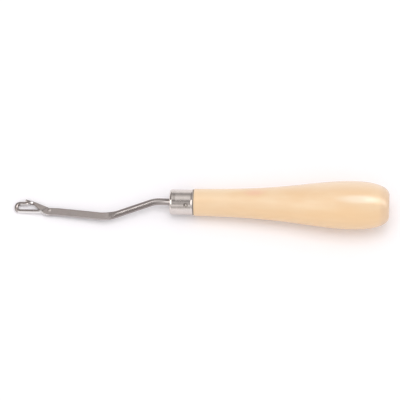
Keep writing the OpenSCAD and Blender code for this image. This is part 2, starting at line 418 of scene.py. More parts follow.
@dataclass(frozen=True)
class LacqueredWood(Finish):
    """Pale turned hardwood under a thin satin lacquer.

    Args:
        light: colour between the streaks.
        deep: colour of the streaks and rings.
        lower_shade: colour of the painted shade on the lower side.
        pale: colour of the painted light on the upper side.
        blush: colour over a knot that lies under the surface.
        fleck: colour of the pores.
        painted_highlight: colour of the painted highlight on top of the bulge.
        end_grain_and_shade: colour of the end grain on the butt's face, and of the painted shade on the turn
            before it.
        warp: how the rings wander.
        warp_depth: how far they wander.
        ring_tilt: how the rings count across and up.
        ring_pitch: radians of a ring per counted mm.
        streaks: long streaks of the grain.
        mottle: soft mottling.
        pores: fine pores.
        mottle_edge: values of the mottling between which it turns deep.
        streak_edge: the same for a streak.
        pore_edge: values between which a pore fades in.
        figure_shares: how strongly rings and streaks show.
        lower_shade_side: where the painted shade of the lower side fades in, across the handle.
        lower_shade_share: how strongly it shows.
        upper_light_side: where the painted light of the upper side fades in, across the handle.
        bulge_run: where along the handle it grows stronger.
        upper_light_shares: how strongly it shows at the neck, and what the bulge adds.
        front_run: where along the handle the wood is lighter in front.
        front_share: how strongly that shows.
        knot: place of the knot.
        knot_factors: how much a step from it counts along each axis.
        knot_ragged: what makes its edge ragged.
        knot_ragged_depth: how ragged it is.
        knot_edge: counted distances between which it fades in.
        knot_share: how strongly it shows.
        pore_share: how strongly the pores show.
        highlight_spot: place of the painted highlight.
        highlight_factors: how much a step from it counts along each axis.
        highlight_edge: counted distances between which it fades in.
        highlight_share: how strongly it shows.
        butt_shade_turn: where the painted shade fades in on the turn towards the butt, along the handle.
        butt_face: where the end grain on the butt's face grows stronger.
        butt_shares: how strongly it shows in these two places.
        rough: roughness of plain wood.
        rough_by: roughness that streaks and pores add.
        height_by: height of streaks, pores and rings.
        depth: depth in metres of that height.
        coat: how much of the surface the lacquer covers.
        coat_rough: roughness of the lacquer.
        gloss: specular level of the wood under it.
    """

    light: Colour = (0.94, 0.70, 0.455)
    deep: Colour = (0.91, 0.625, 0.365)
    lower_shade: Colour = (0.98, 0.66, 0.36)
    pale: Colour = (0.95, 0.72, 0.51)
    blush: Colour = (0.94, 0.57, 0.40)
    fleck: Colour = (0.78, 0.50, 0.28)
    painted_highlight: Colour = (0.97, 0.80, 0.61)
    end_grain_and_shade: Colour = (0.80, 0.55, 0.365)
    warp: Grain = Grain((0.03, 0.12, 0.12))
    warp_depth: float = 2.4
    ring_tilt: tuple[float, float] = (0.55, 1.1)
    ring_pitch: float = 2.2
    streaks: Grain = Grain((0.035, 1.3, 1.3), 4.0, 0.6)
    mottle: Grain = Grain((0.06, 0.16, 0.16))
    pores: Grain = Grain((0.45, 5.0, 5.0), 2.0, 0.6)
    mottle_edge: Span = (0.3, 0.7)
    streak_edge: Span = (0.45, 0.75)
    pore_edge: Span = (0.68, 0.78)
    figure_shares: Weights = (0.25, 0.35)
    lower_shade_side: Span = (-2.0, -8.0)
    lower_shade_share: float = 0.7
    upper_light_side: Span = (1.0, 7.0)
    bulge_run: Span = (30.0, 75.0)
    upper_light_shares: tuple[float, float] = (0.5, 0.35)
    front_run: Span = (45.0, 15.0)
    front_share: float = 0.35
    knot: Place = (37.5, 3.2, 6.4)
    knot_factors: Place = (0.2, 0.45, 0.45)
    knot_ragged: Grain = Grain((0.3, 0.8, 0.8), 3.0)
    knot_ragged_depth: float = 0.9
    knot_edge: Span = (1.8, 0.5)
    knot_share: float = 0.75
    pore_share: float = 0.22
    highlight_spot: Place = (84.0, -0.9, 10.4)
    highlight_factors: Place = (0.09, 0.5, 0.5)
    highlight_edge: Span = (1.25, 0.35)
    highlight_share: float = 0.75
    butt_shade_turn: Span = (91.5, 94.5)
    butt_face: Span = (95.2, 96.6)
    butt_shares: Weights = (0.5, 0.3)
    rough: float = 0.36
    rough_by: Weights = (0.16, 0.1)
    height_by: Weights = (0.4, -0.6, 0.15)
    depth: float = 0.00004
    coat: float = 0.9
    coat_rough: float = 0.22
    gloss: float = 0.4

    name: ClassVar[str] = "lacquered_wood"

    def sockets(self, graph: Graph) -> dict[str | int, Any]:
        """Grain that runs along the handle, soft mottling, pores, painted shade below and painted light
        above, a painted highlight on the bulge, painted shade towards the butt, and a lacquer coat.

        Args:
            graph: the material's graph.

        Returns:
            What the main shader gets at each socket.
        """
        place = self.axes.place_in(graph)
        along, across, _ = graph.parts(place)
        rings = self.rings(graph, place)
        streaks = self.streaks.on(graph, place)
        mottle = self.mottle.on(graph, place).ramp(*self.mottle_edge)
        pores = self.pores.on(graph, place).ramp(*self.pore_edge)
        highlight_spot = self.reach(graph, place, self.highlight_spot, self.highlight_factors)
        neck_share, bulge_share = self.upper_light_shares
        upper_light_share = along.ramp(*self.bulge_run) * bulge_share + neck_share
        butt = (along.ramp(*self.butt_shade_turn), along.ramp(*self.butt_face))
        colour = graph.layered(
            self.light,
            (mottle, self.deep),
            (graph.weighed(0.0, self.figure_shares, rings, streaks.ramp(*self.streak_edge)), self.deep),
            # painted shade on the lower side and painted light on the upper side, stronger on the bulge
            (across.ramp(*self.lower_shade_side) * self.lower_shade_share, self.lower_shade),
            (across.ramp(*self.upper_light_side) * upper_light_share, self.pale),
            (along.ramp(*self.front_run) * self.front_share, self.light),
            (self.over_knot(graph, place) * self.knot_share, self.blush),
            (pores * self.pore_share, self.fleck),
            # painted highlight on top of the bulge
            (highlight_spot.ramp(*self.highlight_edge) * self.highlight_share, self.painted_highlight),
            # painted shade on the turn towards the butt, end grain on its face
            (graph.weighed(0.0, self.butt_shares, *butt), self.end_grain_and_shade),
        )
        height = graph.weighed(0.0, self.height_by, streaks, pores, rings)
        return {
            "Base Color": colour,
            "Roughness": graph.weighed(self.rough, self.rough_by, streaks, pores),
            "Normal": self.bump(graph, height, self.depth),
            "Coat Weight": self.coat,
            "Coat Roughness": self.coat_rough,
            "Specular IOR Level": self.gloss,
        }

    def rings(self, graph: Graph, place: Wire) -> Wire:
        """The year rings, as the turned surface cuts them.

        Args:
            graph: the material's graph.
            place: the place.

        Returns:
            A wave from 0 to 1.
        """
        _, across, up = graph.parts(place)
        warp = self.warp.on(graph, place) * self.warp_depth
        counted = graph.weighed(0.0, self.ring_tilt, across, up) + warp
        return (counted * self.ring_pitch).sine() * 0.5 + 0.5

    def over_knot(self, graph: Graph, place: Wire) -> Wire:
        """How far a place is over the knot that lies under the surface, from 0 to 1."""
        ragged = self.knot_ragged.on(graph, place) * self.knot_ragged_depth
        return (self.reach(graph, place, self.knot, self.knot_factors) + ragged).ramp(*self.knot_edge)


@dataclass(frozen=True)
class NickelPlate(Finish):
    """Bright nickel on thin drawn sheet, faintly rippled and smudged from handling.

    Args:
        dimple: centre of the punched dimple.
        dimple_radius: its radius.
        seam: distance of the wood from the front of the ferrule.
        tint: colour of the clean plate.
        dull: colour under smudges and scratches.
        dirt_and_shade: colour of the grime at the seam, of the painted shade there and behind the front edge,
            and of the painted shade ring round the dimple.
        ripple: long ripples from drawing the sheet.
        lines: fine turned lines.
        smudge: smudges from handling.
        scratch: fine scratches along the ferrule.
        smudge_edge: values of the noise between which a smudge fades in.
        scratch_edge: the same for a scratch.
        seam_edge: distances from the wood between which the seam's grime and painted shade fade in.
        shade_along: where the grey shade behind the front edge lies along the ferrule.
        shade_across: where it lies across the ferrule.
        ring: where the painted shade ring round the dimple lies, in dimple radii.
        dull_shares: how strongly smudges and scratches show.
        dirt_and_shade_shares: how strongly the seam's grime and painted shade, and the grey shade behind the
            front edge, show.
        ring_share: how strongly the ring shows.
        rough: roughness of the clean plate.
        rough_by: roughness that smudges, lines, scratches, the ring and the seam add.
        height_by: height of ripples, lines and scratches.
        depth: depth in metres of that height.
    """

    dimple: Place
    dimple_radius: float
    seam: float
    tint: Colour = (0.80, 0.738, 0.70)
    dull: Colour = (0.67, 0.608, 0.57)
    dirt_and_shade: Colour = (0.17, 0.145, 0.12)
    ripple: Grain = Grain((0.5, 0.35, 0.35), 1.5)
    lines: Grain = Grain((9.0, 0.25, 0.25))
    smudge: Grain = Grain((0.35, 0.35, 0.35), 4.0, 0.6)
    scratch: Grain = Grain((0.6, 7.0, 7.0), 3.0)
    smudge_edge: Span = (0.42, 0.7)
    scratch_edge: Span = (0.62, 0.72)
    seam_edge: Span = (0.62, 0.45)
    shade_along: Run = Run((1.2, 1.7), (3.0, 2.4))
    shade_across: Run = Run((-1.7, -1.2), (2.4, 1.8))
    ring: Run = Run((0.4, 0.65), (1.25, 1.05))
    dull_shares: Weights = (0.4, 0.15)
    dirt_and_shade_shares: Weights = (0.65, 0.3)
    ring_share: float = 0.8
    rough: float = 0.07
    rough_by: Weights = (0.1, 0.05, 0.06, 0.2, 0.55)
    height_by: Weights = (0.8, 0.03, -0.03)
    depth: float = 0.00009

    name: ClassVar[str] = "nickel_plate"

    def sockets(self, graph: Graph) -> dict[str | int, Any]:
        """Ripples from drawing, fine turned lines, smudges, grime and painted shade at the seam, painted
        shade behind the front edge, and a painted shade ring round the dimple.

        Args:
            graph: the material's graph.

        Returns:
            What the main shader gets at each socket.
        """
        place = self.axes.place_in(graph)
        along, across, _ = graph.parts(place)
        ripple = self.ripple.on(graph, place)
        lines = self.lines.on(graph, place)
        smudge = self.smudge.on(graph, place).ramp(*self.smudge_edge)
        scratch = self.scratch.on(graph, place).ramp(*self.scratch_edge)
        far, near = self.seam_edge
        seam = along.ramp(self.seam - far, self.seam - near)
        shade = self.shade_along.share(along) * self.shade_across.share(across)
        ring = self.ring.share(self.reach(graph, place, self.dimple) / self.dimple_radius)
        colour = graph.layered(
            self.tint,
            (graph.weighed(0.0, self.dull_shares, smudge, scratch), self.dull),
            # grime and painted shade at the seam, and painted shade behind the front edge
            (graph.weighed(0.0, self.dirt_and_shade_shares, seam, shade), self.dirt_and_shade),
            # painted shade ring round the dimple
            (ring * self.ring_share, self.dirt_and_shade),
        )
        height = graph.weighed(0.0, self.height_by, ripple, lines, scratch)
        return {
            "Base Color": colour,
            "Metallic": 1.0,
            "Roughness": graph.weighed(self.rough, self.rough_by, smudge, lines, scratch, ring, seam),
            "Normal": self.bump(graph, height, self.depth),
        }


@dataclass(frozen=True)
class WorkedSteel(Finish):
    """Drawn and pressed steel with dull plating, polished bright where the yarn runs.

    Args:
        tint: colour of the dull metal.
        worn: colour where the plating has gone.
        rubbed_and_reflection: colour of the metal that the yarn polishes, and of the painted reflections on
            the shank.
        scale_and_shade: colour of the dark scale, and of the painted shade on the shank and the latch.
        frosted_and_reflection: colour of the bare metal where fine scratches scatter the light, of the
            painted light and reflections on the shank, and of the painted highlight on the latch.
        rough: roughness of the dull metal with few marks.
        fineness: waves per mm of the drawing marks, across them.
        mark_run: waves per mm along them.
        blotch: soft blotches.
        pits: small pits.
        bright: stray spots that the yarn has made bright.
        dark: stray spots of scale.
        bare: stray spots of fine scratches.
        blotch_edge: values of the noise between which a blotch fades in.
        pit_edge: the same for a pit.
        bright_edge: the same for a bright spot.
        dark_edge: the same for scale.
        bare_edge: the same for a scratched spot.
        worn_shares: how strongly blotches and pits show.
        rough_by: roughness that marks, blotches and pits add.
        smoothing: share of the roughness that the bright places lose.
        frost_cover: share of the metallic look that scratched places and painted light take away.
        height_by: height of marks, pits and blotches.
        depth: depth in metres of that height.
    """

    tint: Colour = (0.435, 0.392, 0.378)
    worn: Colour = (0.36, 0.31, 0.295)
    rubbed_and_reflection: Colour = (0.88, 0.83, 0.81)
    scale_and_shade: Colour = (0.20, 0.165, 0.155)
    frosted_and_reflection: Colour = (0.95, 0.92, 0.91)
    rough: float = 0.29
    fineness: float = 6.0
    mark_run: float = 0.5
    blotch: Grain = Grain((0.4, 0.4, 0.4), 3.0, 0.6)
    pits: Grain = Grain((4.5, 4.5, 4.5))
    bright: Grain = Grain((0.3, 0.3, 0.3))
    dark: Grain = Grain((0.5, 0.5, 0.5))
    bare: Grain = Grain((0.7, 0.7, 0.7))
    blotch_edge: Span = (0.38, 0.68)
    pit_edge: Span = (0.66, 0.74)
    bright_edge: Span = (0.7, 0.9)
    dark_edge: Span = (0.75, 0.95)
    bare_edge: Span = (0.8, 0.95)
    worn_shares: Weights = (0.4, 0.2)
    rough_by: Weights = (0.1, 0.08, 0.1)
    smoothing: float = 0.55
    frost_cover: float = 0.5
    height_by: Weights = (0.3, -0.4, 0.15)
    depth: float = 0.000012

    name: ClassVar[str] = "worked_steel"

    def polish_and_reflection(self, graph: Graph, place: Wire) -> Wire:
        """How far the metal is polished bright, from 0 to 1."""
        return self.bright.on(graph, place).ramp(*self.bright_edge)

    def scale(self, graph: Graph, place: Wire) -> Wire:
        """How far the metal is covered with dark scale, from 0 to 1."""
        return self.dark.on(graph, place).ramp(*self.dark_edge)

    def frost_and_reflection(self, graph: Graph, place: Wire) -> Wire:
        """How far fine scratches cover the metal, from 0 to 1."""
        return self.bare.on(graph, place).ramp(*self.bare_edge)

    def sockets(self, graph: Graph) -> dict[str | int, Any]:
        """Marks along the drawing direction, blotches, small pits, bright and scratched places and dark
        scale, which the shank and the latch use for painted light and shade.

        Args:
            graph: the material's graph.

        Returns:
            What the main shader gets at each socket.
        """
        place = self.axes.place_in(graph)
        marks = Grain((self.mark_run, self.fineness, self.fineness), 3.0).on(graph, place)
        blotch = self.blotch.on(graph, place).ramp(*self.blotch_edge)
        pits = self.pits.on(graph, place).ramp(*self.pit_edge)
        polish_and_reflection = self.polish_and_reflection(graph, place)
        frost_and_reflection = self.frost_and_reflection(graph, place)
        colour = graph.layered(
            self.tint,
            (graph.weighed(0.0, self.worn_shares, blotch, pits), self.worn),
            # bright places; painted reflections on the shank
            (polish_and_reflection, self.rubbed_and_reflection),
            # dark scale; painted shade on the shank and the latch
            (self.scale(graph, place), self.scale_and_shade),
            # scratched places; painted light on the shank and a painted highlight on the latch
            (frost_and_reflection, self.frosted_and_reflection),
        )
        dull = graph.weighed(self.rough, self.rough_by, marks, blotch, pits)
        height = graph.weighed(0.0, self.height_by, marks, pits, blotch)
        return {
            "Base Color": colour,
            "Metallic": 1 - frost_and_reflection * self.frost_cover,
            "Roughness": dull * (1 - polish_and_reflection * self.smoothing),
            "Normal": self.bump(graph, height, self.depth),
        }


@dataclass(frozen=True)
class ShankSteel(WorkedSteel):
    """The shank's steel: thin scale, a painted reflection stripe along the rod and on the stem's narrow
    sides, painted shade on the leg's lower side, the stem's upper edge and the wire's top, and painted light
    under the hook wire.

    Args:
        wire_lines: where the centre lines of the hook's lower and upper run lie, across the tool.
        leg_corner: a point on the leg's centre line.
        leg_slope: slope of the leg in degrees.
        stem_corner: a point on the stem's centre line.
        stem_slope: slope of the stem in degrees.
        leg_run: where the neck passes into the leg.
        round_run: where the bands of the round rod begin, behind the elbow.
        painted_stripe: where the painted reflection stripe lies, above the rod's centre line.
        painted_stripe_shares: how strongly it shows on the neck, and what the leg adds.
        shaded_flank: where the painted shade on the leg's lower side begins, below the centre line.
        shaded_flank_share: how strongly it shows.
        stem_run: where the flat stem begins.
        stem_edge: where the stem's upper edge begins, above its centre line.
        edge_end: where that edge ends, in front of the head.
        stem_shares: how strongly scale shows on the stem, and what the painted shade on its upper edge adds.
        narrow: distance from the crank's plane over which a narrow side passes into a flat face.
        narrow_run: where the narrow sides carry a painted reflection.
        narrow_reflection_share: how strongly that shows.
        head_run: where the head's narrow sides carry a painted reflection.
        head_reflection_share: how strongly that shows.
        wire_run: where the head passes into the wire of the hook.
        wire_end: where the painted shade on top of the wire ends, at the bend.
        wire_shade_share: how strongly that painted shade shows.
        run_gap: half width of the change between the hook's two runs.
        lower_edge: how far below its centre line the painted light on the lower run begins.
        lower_end: where that ends, at the bend.
        upper_edge: the same for the upper run.
        upper_end: where that ends, at the bend.
        tip_run: where the upper run tapers.
        tip_rise: how far its lower side rises there.
    """

    wire_lines: tuple[float, float] = (-5.7, -2.2)
    leg_corner: Point = (-6.6, 0.0)
    leg_slope: float = 20.9
    stem_corner: Point = (-49.5, -5.7)
    stem_slope: float = -4.9
    leg_run: Span = (-5.0, -7.5)
    round_run: Span = (-27.5, -24.0)
    painted_stripe: Run = Run((0.2, -0.1), (-1.1, -0.65))
    painted_stripe_shares: tuple[float, float] = (0.33, 0.3)
    shaded_flank: Span = (-0.85, -1.15)
    shaded_flank_share: float = 0.15
    stem_run: Span = (-26.0, -30.0)
    stem_edge: Span = (0.9, 1.3)
    edge_end: Span = (-50.0, -48.0)
    stem_shares: tuple[float, float] = (0.2, 0.25)
    narrow: Span = (0.95, 0.82)
    narrow_run: Run = Run((-26.0, -29.0), (-57.0, -55.5))
    narrow_reflection_share: float = 0.38
    head_run: Run = Run((-52.0, -54.5), (-58.0, -57.0))
    head_reflection_share: float = 0.6
    wire_run: Span = (-56.5, -57.5)
    wire_end: Span = (-67.4, -66.4)
    wire_shade_share: float = 0.15
    run_gap: float = 0.1
    lower_edge: Span = (0.22, 0.38)
    lower_end: Span = (-67.6, -66.6)
    upper_edge: Span = (0.2, 0.55)
    upper_end: Span = (-66.4, -65.4)
    tip_run: Span = (-63.4, -62.6)
    tip_rise: float = 0.3

    name: ClassVar[str] = "shank_steel"

    @staticmethod
    def offset(along: Wire, across: Wire, corner: Point, slope: float) -> Wire:
        """How far a place lies above a sloping centre line."""
        turn = math.radians(slope)
        return (across - corner[1]) * math.cos(turn) - (along - corner[0]) * math.sin(turn)

    def rod_offset(self, along: Wire, across: Wire) -> tuple[Wire, Wire]:
        """Where a place lies on the round rod.

        Args:
            along: the place along the tool.
            across: the place across it.

        Returns:
            How far it lies above the rod's centre line, and how far it is on the leg, from 0 to 1.
        """
        on_leg = along.ramp(*self.leg_run)
        leg = self.offset(along, across, self.leg_corner, self.leg_slope)
        return across * (1 - on_leg) + leg * on_leg, on_leg

    def painted_light_below(self, along: Wire, across: Wire) -> Wire:
        """The painted light on the lower side of the hook's two runs.

        Args:
            along: the place along the tool.
            across: the place across it.

        Returns:
            How far a place is on it, from 0 to 1.
        """
        low, high = self.wire_lines
        between = (low + high) / 2
        upper = across.ramp(between - self.run_gap, between + self.run_gap)
        lower_start, lower_full = self.lower_edge
        upper_start, upper_full = self.upper_edge
        below = across.ramp(low - lower_start, low - lower_full) * (1 - upper)
        raised = across - along.ramp(*self.tip_run) * self.tip_rise
        above = raised.ramp(high - upper_start, high - upper_full) * upper
        runs = below * along.ramp(*self.lower_end) + above * along.ramp(*self.upper_end)
        return runs * along.ramp(*self.wire_run)

    def scale(self, graph: Graph, place: Wire) -> Wire:
        """Painted shade on the leg's lower side, scale on the stem with painted shade along its upper edge,
        and painted shade on top of the wire.

        Args:
            graph: the material's graph.
            place: the place.

        Returns:
            How far a place is covered with it, from 0 to 1.
        """
        along, across, _ = graph.parts(place)
        offset, on_leg = self.rod_offset(along, across)
        # painted shade on the leg's lower side
        shaded_flank = offset.ramp(*self.shaded_flank) * on_leg * along.ramp(*self.round_run) * self.shaded_flank_share
        above = self.offset(along, across, self.stem_corner, self.stem_slope)
        flat_share, edge_share = self.stem_shares
        # painted shade along the stem's upper edge
        edge = above.ramp(*self.stem_edge) * along.ramp(*self.edge_end) * edge_share
        stem = (edge + flat_share) * along.ramp(*self.stem_run)
        on_wire = along.ramp(*self.wire_run) * along.ramp(*self.wire_end)
        # painted shade on top of the wire, where it has no painted light below
        return shaded_flank + stem + (1 - self.painted_light_below(along, across)) * on_wire * self.wire_shade_share

    def polish_and_reflection(self, graph: Graph, place: Wire) -> Wire:
        """A painted reflection stripe along the neck and the leg, and painted reflections on the stem's
        narrow sides.

        Args:
            graph: the material's graph.
            place: the place.

        Returns:
            How far a place carries a painted reflection, from 0 to 1.
        """
        along, across, up = graph.parts(place)
        offset, on_leg = self.rod_offset(along, across)
        neck_share, leg_share = self.painted_stripe_shares
        # painted reflection stripe along the rod
        painted_stripe = self.painted_stripe.share(offset) * along.ramp(*self.round_run) * (on_leg * leg_share + neck_share)
        # painted reflections on the stem's narrow sides
        sides = abs(up).ramp(*self.narrow) * self.narrow_run.share(along)
        return painted_stripe + sides * self.narrow_reflection_share

    def frost_and_reflection(self, graph: Graph, place: Wire) -> Wire:
        """The painted light under the hook wire and painted reflections on the head's narrow sides.

        Args:
            graph: the material's graph.
            place: the place.

        Returns:
            How far a place carries painted light, from 0 to 1.
        """
        along, across, up = graph.parts(place)
        # painted reflections on the head's narrow sides
        head = abs(up).ramp(*self.narrow) * self.head_run.share(along) * self.head_reflection_share
        # painted light under the hook wire
        return self.painted_light_below(along, across) + head


@dataclass(frozen=True)
class LatchSteel(WorkedSteel):
    """The latch's steel, with a painted highlight where the spoon begins and painted shade in the creases
    beside it.

    Args:
        painted_glint: place of the painted highlight.
        painted_glint_size: its half lengths along and across.
        shaded_folds: places of the painted shade in the creases beside it.
        fold_size: half length of a fold.
        fold_shade_share: how strongly that painted shade shows.
        spot_edge: where a spot fades in, in its own half lengths.
    """

    tint: Colour = (0.385, 0.347, 0.332)
    fineness: float = 3.0
    painted_glint: Place = (-60.9, -1.8, 0.0)
    painted_glint_size: tuple[float, float] = (0.65, 0.48)
    shaded_folds: tuple[Place, ...] = ((-60.0, -2.35, 0.0), (-62.4, -2.0, 0.0))
    fold_size: float = 0.42
    fold_shade_share: float = 0.75
    spot_edge: Span = (1.2, 0.8)

    name: ClassVar[str] = "latch_steel"

    def spot(self, graph: Graph, place: Wire, centre: Place, size: tuple[float, float]) -> Wire:
        """An oval spot, the same on both sides of the latch."""
        factors = (1 / size[0], 1 / size[1], 0.0)
        return self.reach(graph, place, centre, factors).ramp(*self.spot_edge)

    def scale(self, graph: Graph, place: Wire) -> Wire:
        """Painted shade in the creases on either side of the painted highlight."""
        first, second = (self.spot(graph, place, fold, (self.fold_size,) * 2) for fold in self.shaded_folds)
        return (first + second) * self.fold_shade_share

    def frost_and_reflection(self, graph: Graph, place: Wire) -> Wire:
        """The painted highlight."""
        return self.spot(graph, place, self.painted_glint, self.painted_glint_size)


@dataclass(frozen=True)
class TableTop(Finish):
    """A plain pale sheet, which the camera and polished metal see as a bright background.

    Args:
        tone: its colour.
        fibre: the colour of its faint unevenness.
        unevenness: the pattern of that, in waves per metre.
        rough: roughness of the sheet.
        glow: how much brighter the camera sees it.
        metal_glow: how much brighter metal and lacquer see it.
    """

    tone: Colour = (0.925, 0.908, 0.92)
    fibre: Colour = (0.915, 0.898, 0.91)
    unevenness: Grain = Grain((9.0, 9.0, 9.0), 3.0)
    rough: float = 0.6
    glow: float = 0.15
    metal_glow: float = 0.04

    name: ClassVar[str] = "table_top"

    def surface(self, graph: Graph) -> Wire:
        """A matt sheet, laid on twice for camera and glossy rays.

        Args:
            graph: the material's graph.

        Returns:
            The shader.
        """
        local = graph.add("ShaderNodeTexCoord", {}, {}, "Object")
        tone = graph.blend(self.unevenness.on(graph, local), self.tone, self.fibre)
        plain = graph.add("ShaderNodeBsdfDiffuse", {}, {"Color": tone, "Roughness": self.rough}, "BSDF")
        twice = graph.add("ShaderNodeAddShader", {}, {0: plain, 1: plain}, "Shader")
        camera = graph.add("ShaderNodeLightPath", {}, {}, "Is Camera Ray")
        seen = camera * self.glow + camera.beside("Is Glossy Ray") * self.metal_glow
        return graph.add("ShaderNodeMixShader", {}, {0: seen, 1: plain, 2: twice}, "Shader")


def bezier(a: Vector, b: Vector, c: Vector, d: Vector, steps: int) -> list[Vector]:
    """Points of a cubic curve.

    Args:
        a: first point.
        b: its handle.
        c: the handle of the last point.
        d: last point.
        steps: number of equal steps.

    Returns:
        The steps + 1 points.
    """
    points = []
    for i in range(steps + 1):
        t = i / steps
        s = 1 - t
        points.append(a * s**3 + b * (3 * s * s * t) + c * (3 * s * t * t) + d * t**3)
    return points


def arc(centre: Point, radius: float, start: float, end: float, steps: int) -> list[Point]:
    """Points of an arc in the outline's plane, with angles in degrees from the x axis."""
    turns = [math.radians(start + (end - start) * i / steps) for i in range(steps + 1)]
    return [(centre[0] + radius * math.cos(t), centre[1] + radius * math.sin(t)) for t in turns]


def settled(bm: bmesh.types.BMesh, name: str) -> bpy.types.Mesh:
    """Makes a plain mesh of a bmesh, and frees that.

    Args:
        bm: the bmesh.
        name: name of the mesh.

    Returns:
        The mesh.
    """
    mesh = bpy.data.meshes.new(name)
    bm.to_mesh(mesh)
    bm.free()
    return mesh


def linked(name: str, data: bpy.types.ID) -> bpy.types.Object:
    """Puts an object into the scene.

    Args:
        name: name of the object.
        data: its mesh, lamp or camera.

    Returns:
        The object.
    """
    added = bpy.data.objects.new(name, data)
    bpy.context.scene.collection.objects.link(added)
    return added


def turned(name: str, outline: Outline, sides: int, ring: bool = False) -> bpy.types.Mesh:
    """Turns an outline round the x axis.

    Args:
        name: name of the mesh.
        outline: points (x, radius) in mm; a radius near 0 becomes a single point.
        sides: number of sides.
        ring: whether the last point joins the first.

    Returns:
        A closed mesh on the tool's axes, in mm.
    """
    bm = bmesh.new()
    rows = []
    for x, radius in outline:
        if radius < TINY:
            rows.append([bm.verts.new((x, 0, 0))])
            continue
        turns = [2 * math.pi * i / sides for i in range(sides)]
        rows.append([bm.verts.new((x, -radius * math.sin(a), radius * math.cos(a))) for a in turns])
    pairs = list(zip(rows, rows[1:], strict=False))
    if ring:
        pairs.append((rows[-1], rows[0]))
    for a, b in pairs:
        for i in range(sides):
            j = (i + 1) % sides
            corners = [a[i % len(a)], a[j % len(a)], b[j % len(b)], b[i % len(b)]]
            unique = list(dict.fromkeys(corners))
            if len(unique) > 2:
                bm.faces.new(unique)
    bmesh.ops.recalc_face_normals(bm, faces=bm.faces)
    return settled(bm, name)


def dress(
    name: str,
    mesh: bpy.types.Mesh,
    axes: ToolAxes,
    material: bpy.types.Material,
    body: Body,
    node: str,
    crease: float,
) -> bpy.types.Object:
    """Makes a mesh in mm a finished piece that stands for a node.

    Args:
        name: name of the piece.
        mesh: mesh on the tool's axes, in mm.
        axes: the tool's axes.
        material: its material.
        body: the body it rides on.
        node: the CAD node it replaces.
        crease: angle in degrees above which an edge stays sharp.

    Returns:
        The piece.
    """
    mesh.transform(axes.matrix)
    mesh.polygons.foreach_set("use_smooth", [True] * len(mesh.polygons))
    mesh.set_sharp_from_angle(angle=math.radians(crease))
    mesh.materials.clear()
    mesh.materials.append(material)
    mesh.update()
    piece = linked(name, mesh)
    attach(piece, body.value)
    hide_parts(node)
    LOG.info("%s: %d faces", name, len(mesh.polygons))
    return piece


@dataclass
class Ferrule:
    """A drawn nickel cup with a rolled bead and a punched dimple, in mm and degrees."""

    length: float = 10.8
    radius: float = 5.575
    wall: float = 0.5
    front_round: float = 1.2
    front_steps: int = 14
    bead_width: float = 1.2
    bead_height: float = 0.15
    bead_steps: int = 16
    hole_radius: float = 1.6
    hole_lip: float = 0.12
    inner_steps: int = 10
    barrel_steps: int = 90
    dimple_radius: float = 0.85
    dimple_depth: float = 0.25
    dimple_at: float = 7.4
    dimple_turn: float = 34.0
    dimple_power: int = 4
    sides: int = 256
    crease: float = 35.0

    @property
    def bore(self) -> float:
        """Inner radius."""
        return self.radius - self.wall

    @property
    def inner_round(self) -> float:
        """Rounding inside the front edge."""
        return self.front_round - self.wall

    @property
    def barrel_end(self) -> float:
        """Where the bead begins."""
        return self.length - self.bead_width

    @property
    def dimple_centre(self) -> Place:
        """Where the dimple is, on the tool's axes."""
        turn = math.radians(self.dimple_turn)
        return (self.dimple_at, -self.radius * math.sin(turn), self.radius * math.cos(turn))

    def outline(self) -> list[Point]:
        """Closed section of the cup.

        Returns:
            Its points, from the front hole over the barrel and the bead, and back inside.
        """
        rim = (self.front_round, self.radius - self.front_round)
        bead_r = ((self.bead_width / 2) ** 2 + self.bead_height**2) / (2 * self.bead_height)
        bead_half = math.degrees(math.asin(self.bead_width / 2 / bead_r))
        bead_mid = (self.length - self.bead_width / 2, self.radius + self.bead_height - bead_r)
        face = [(0.0, self.hole_radius + self.hole_lip), (0.0, rim[1])]
        front = arc(rim, self.front_round, 180, 90, self.front_steps)
        pitch = (self.barrel_end - self.front_round) / self.barrel_steps
        barrel = [(self.front_round + pitch * i, self.radius) for i in range(1, self.barrel_steps)]
        bead = arc(bead_mid, bead_r, 90 + bead_half, 90 - bead_half, self.bead_steps)
        inner = arc(rim, self.inner_round, 90, 180, self.inner_steps)
        inside = [(self.length, self.bore), *inner, (self.wall, self.hole_radius)]
        return [*face, *front[1:], *barrel, *bead, *inside, (self.hole_lip, self.hole_radius)]

    def push(self, x: float, turn: float) -> float:
        """The dimple, a round dent in the barrel's outer skin.

        Args:
            x: distance from the front of the ferrule.
            turn: angle round the barrel.

        Returns:
            How far the skin moves outwards there, which is never above 0.
        """
        across = math.radians(turn - self.dimple_turn) * self.radius
        share = math.hypot(x - self.dimple_at, across) / self.dimple_radius
        return -self.dimple_depth * max(0.0, 1 - share**self.dimple_power)

    def build(self, axes: ToolAxes) -> bpy.types.Object:
        """Builds and dresses the ferrule.

        Args:
            axes: the tool's axes.

        Returns:
            The piece.
        """
        skin = self.bore + self.wall / 2
        mesh = turned("ferrule_cup", self.outline(), self.sides, True)
        for vertex in mesh.vertices:
            x, y, z = vertex.co
            radius = math.hypot(y, z)
            if radius > skin and self.front_round < x < self.barrel_end:
                turn = math.degrees(math.atan2(-y, z))
                scale = (radius + self.push(x, turn)) / radius
                vertex.co = (x, y * scale, z * scale)
        finish = NickelPlate(axes, self.dimple_centre, self.dimple_radius, self.length).material()
        return dress("ferrule_cup", mesh, axes, finish, Body.TOOL, "ferrule", self.crease)


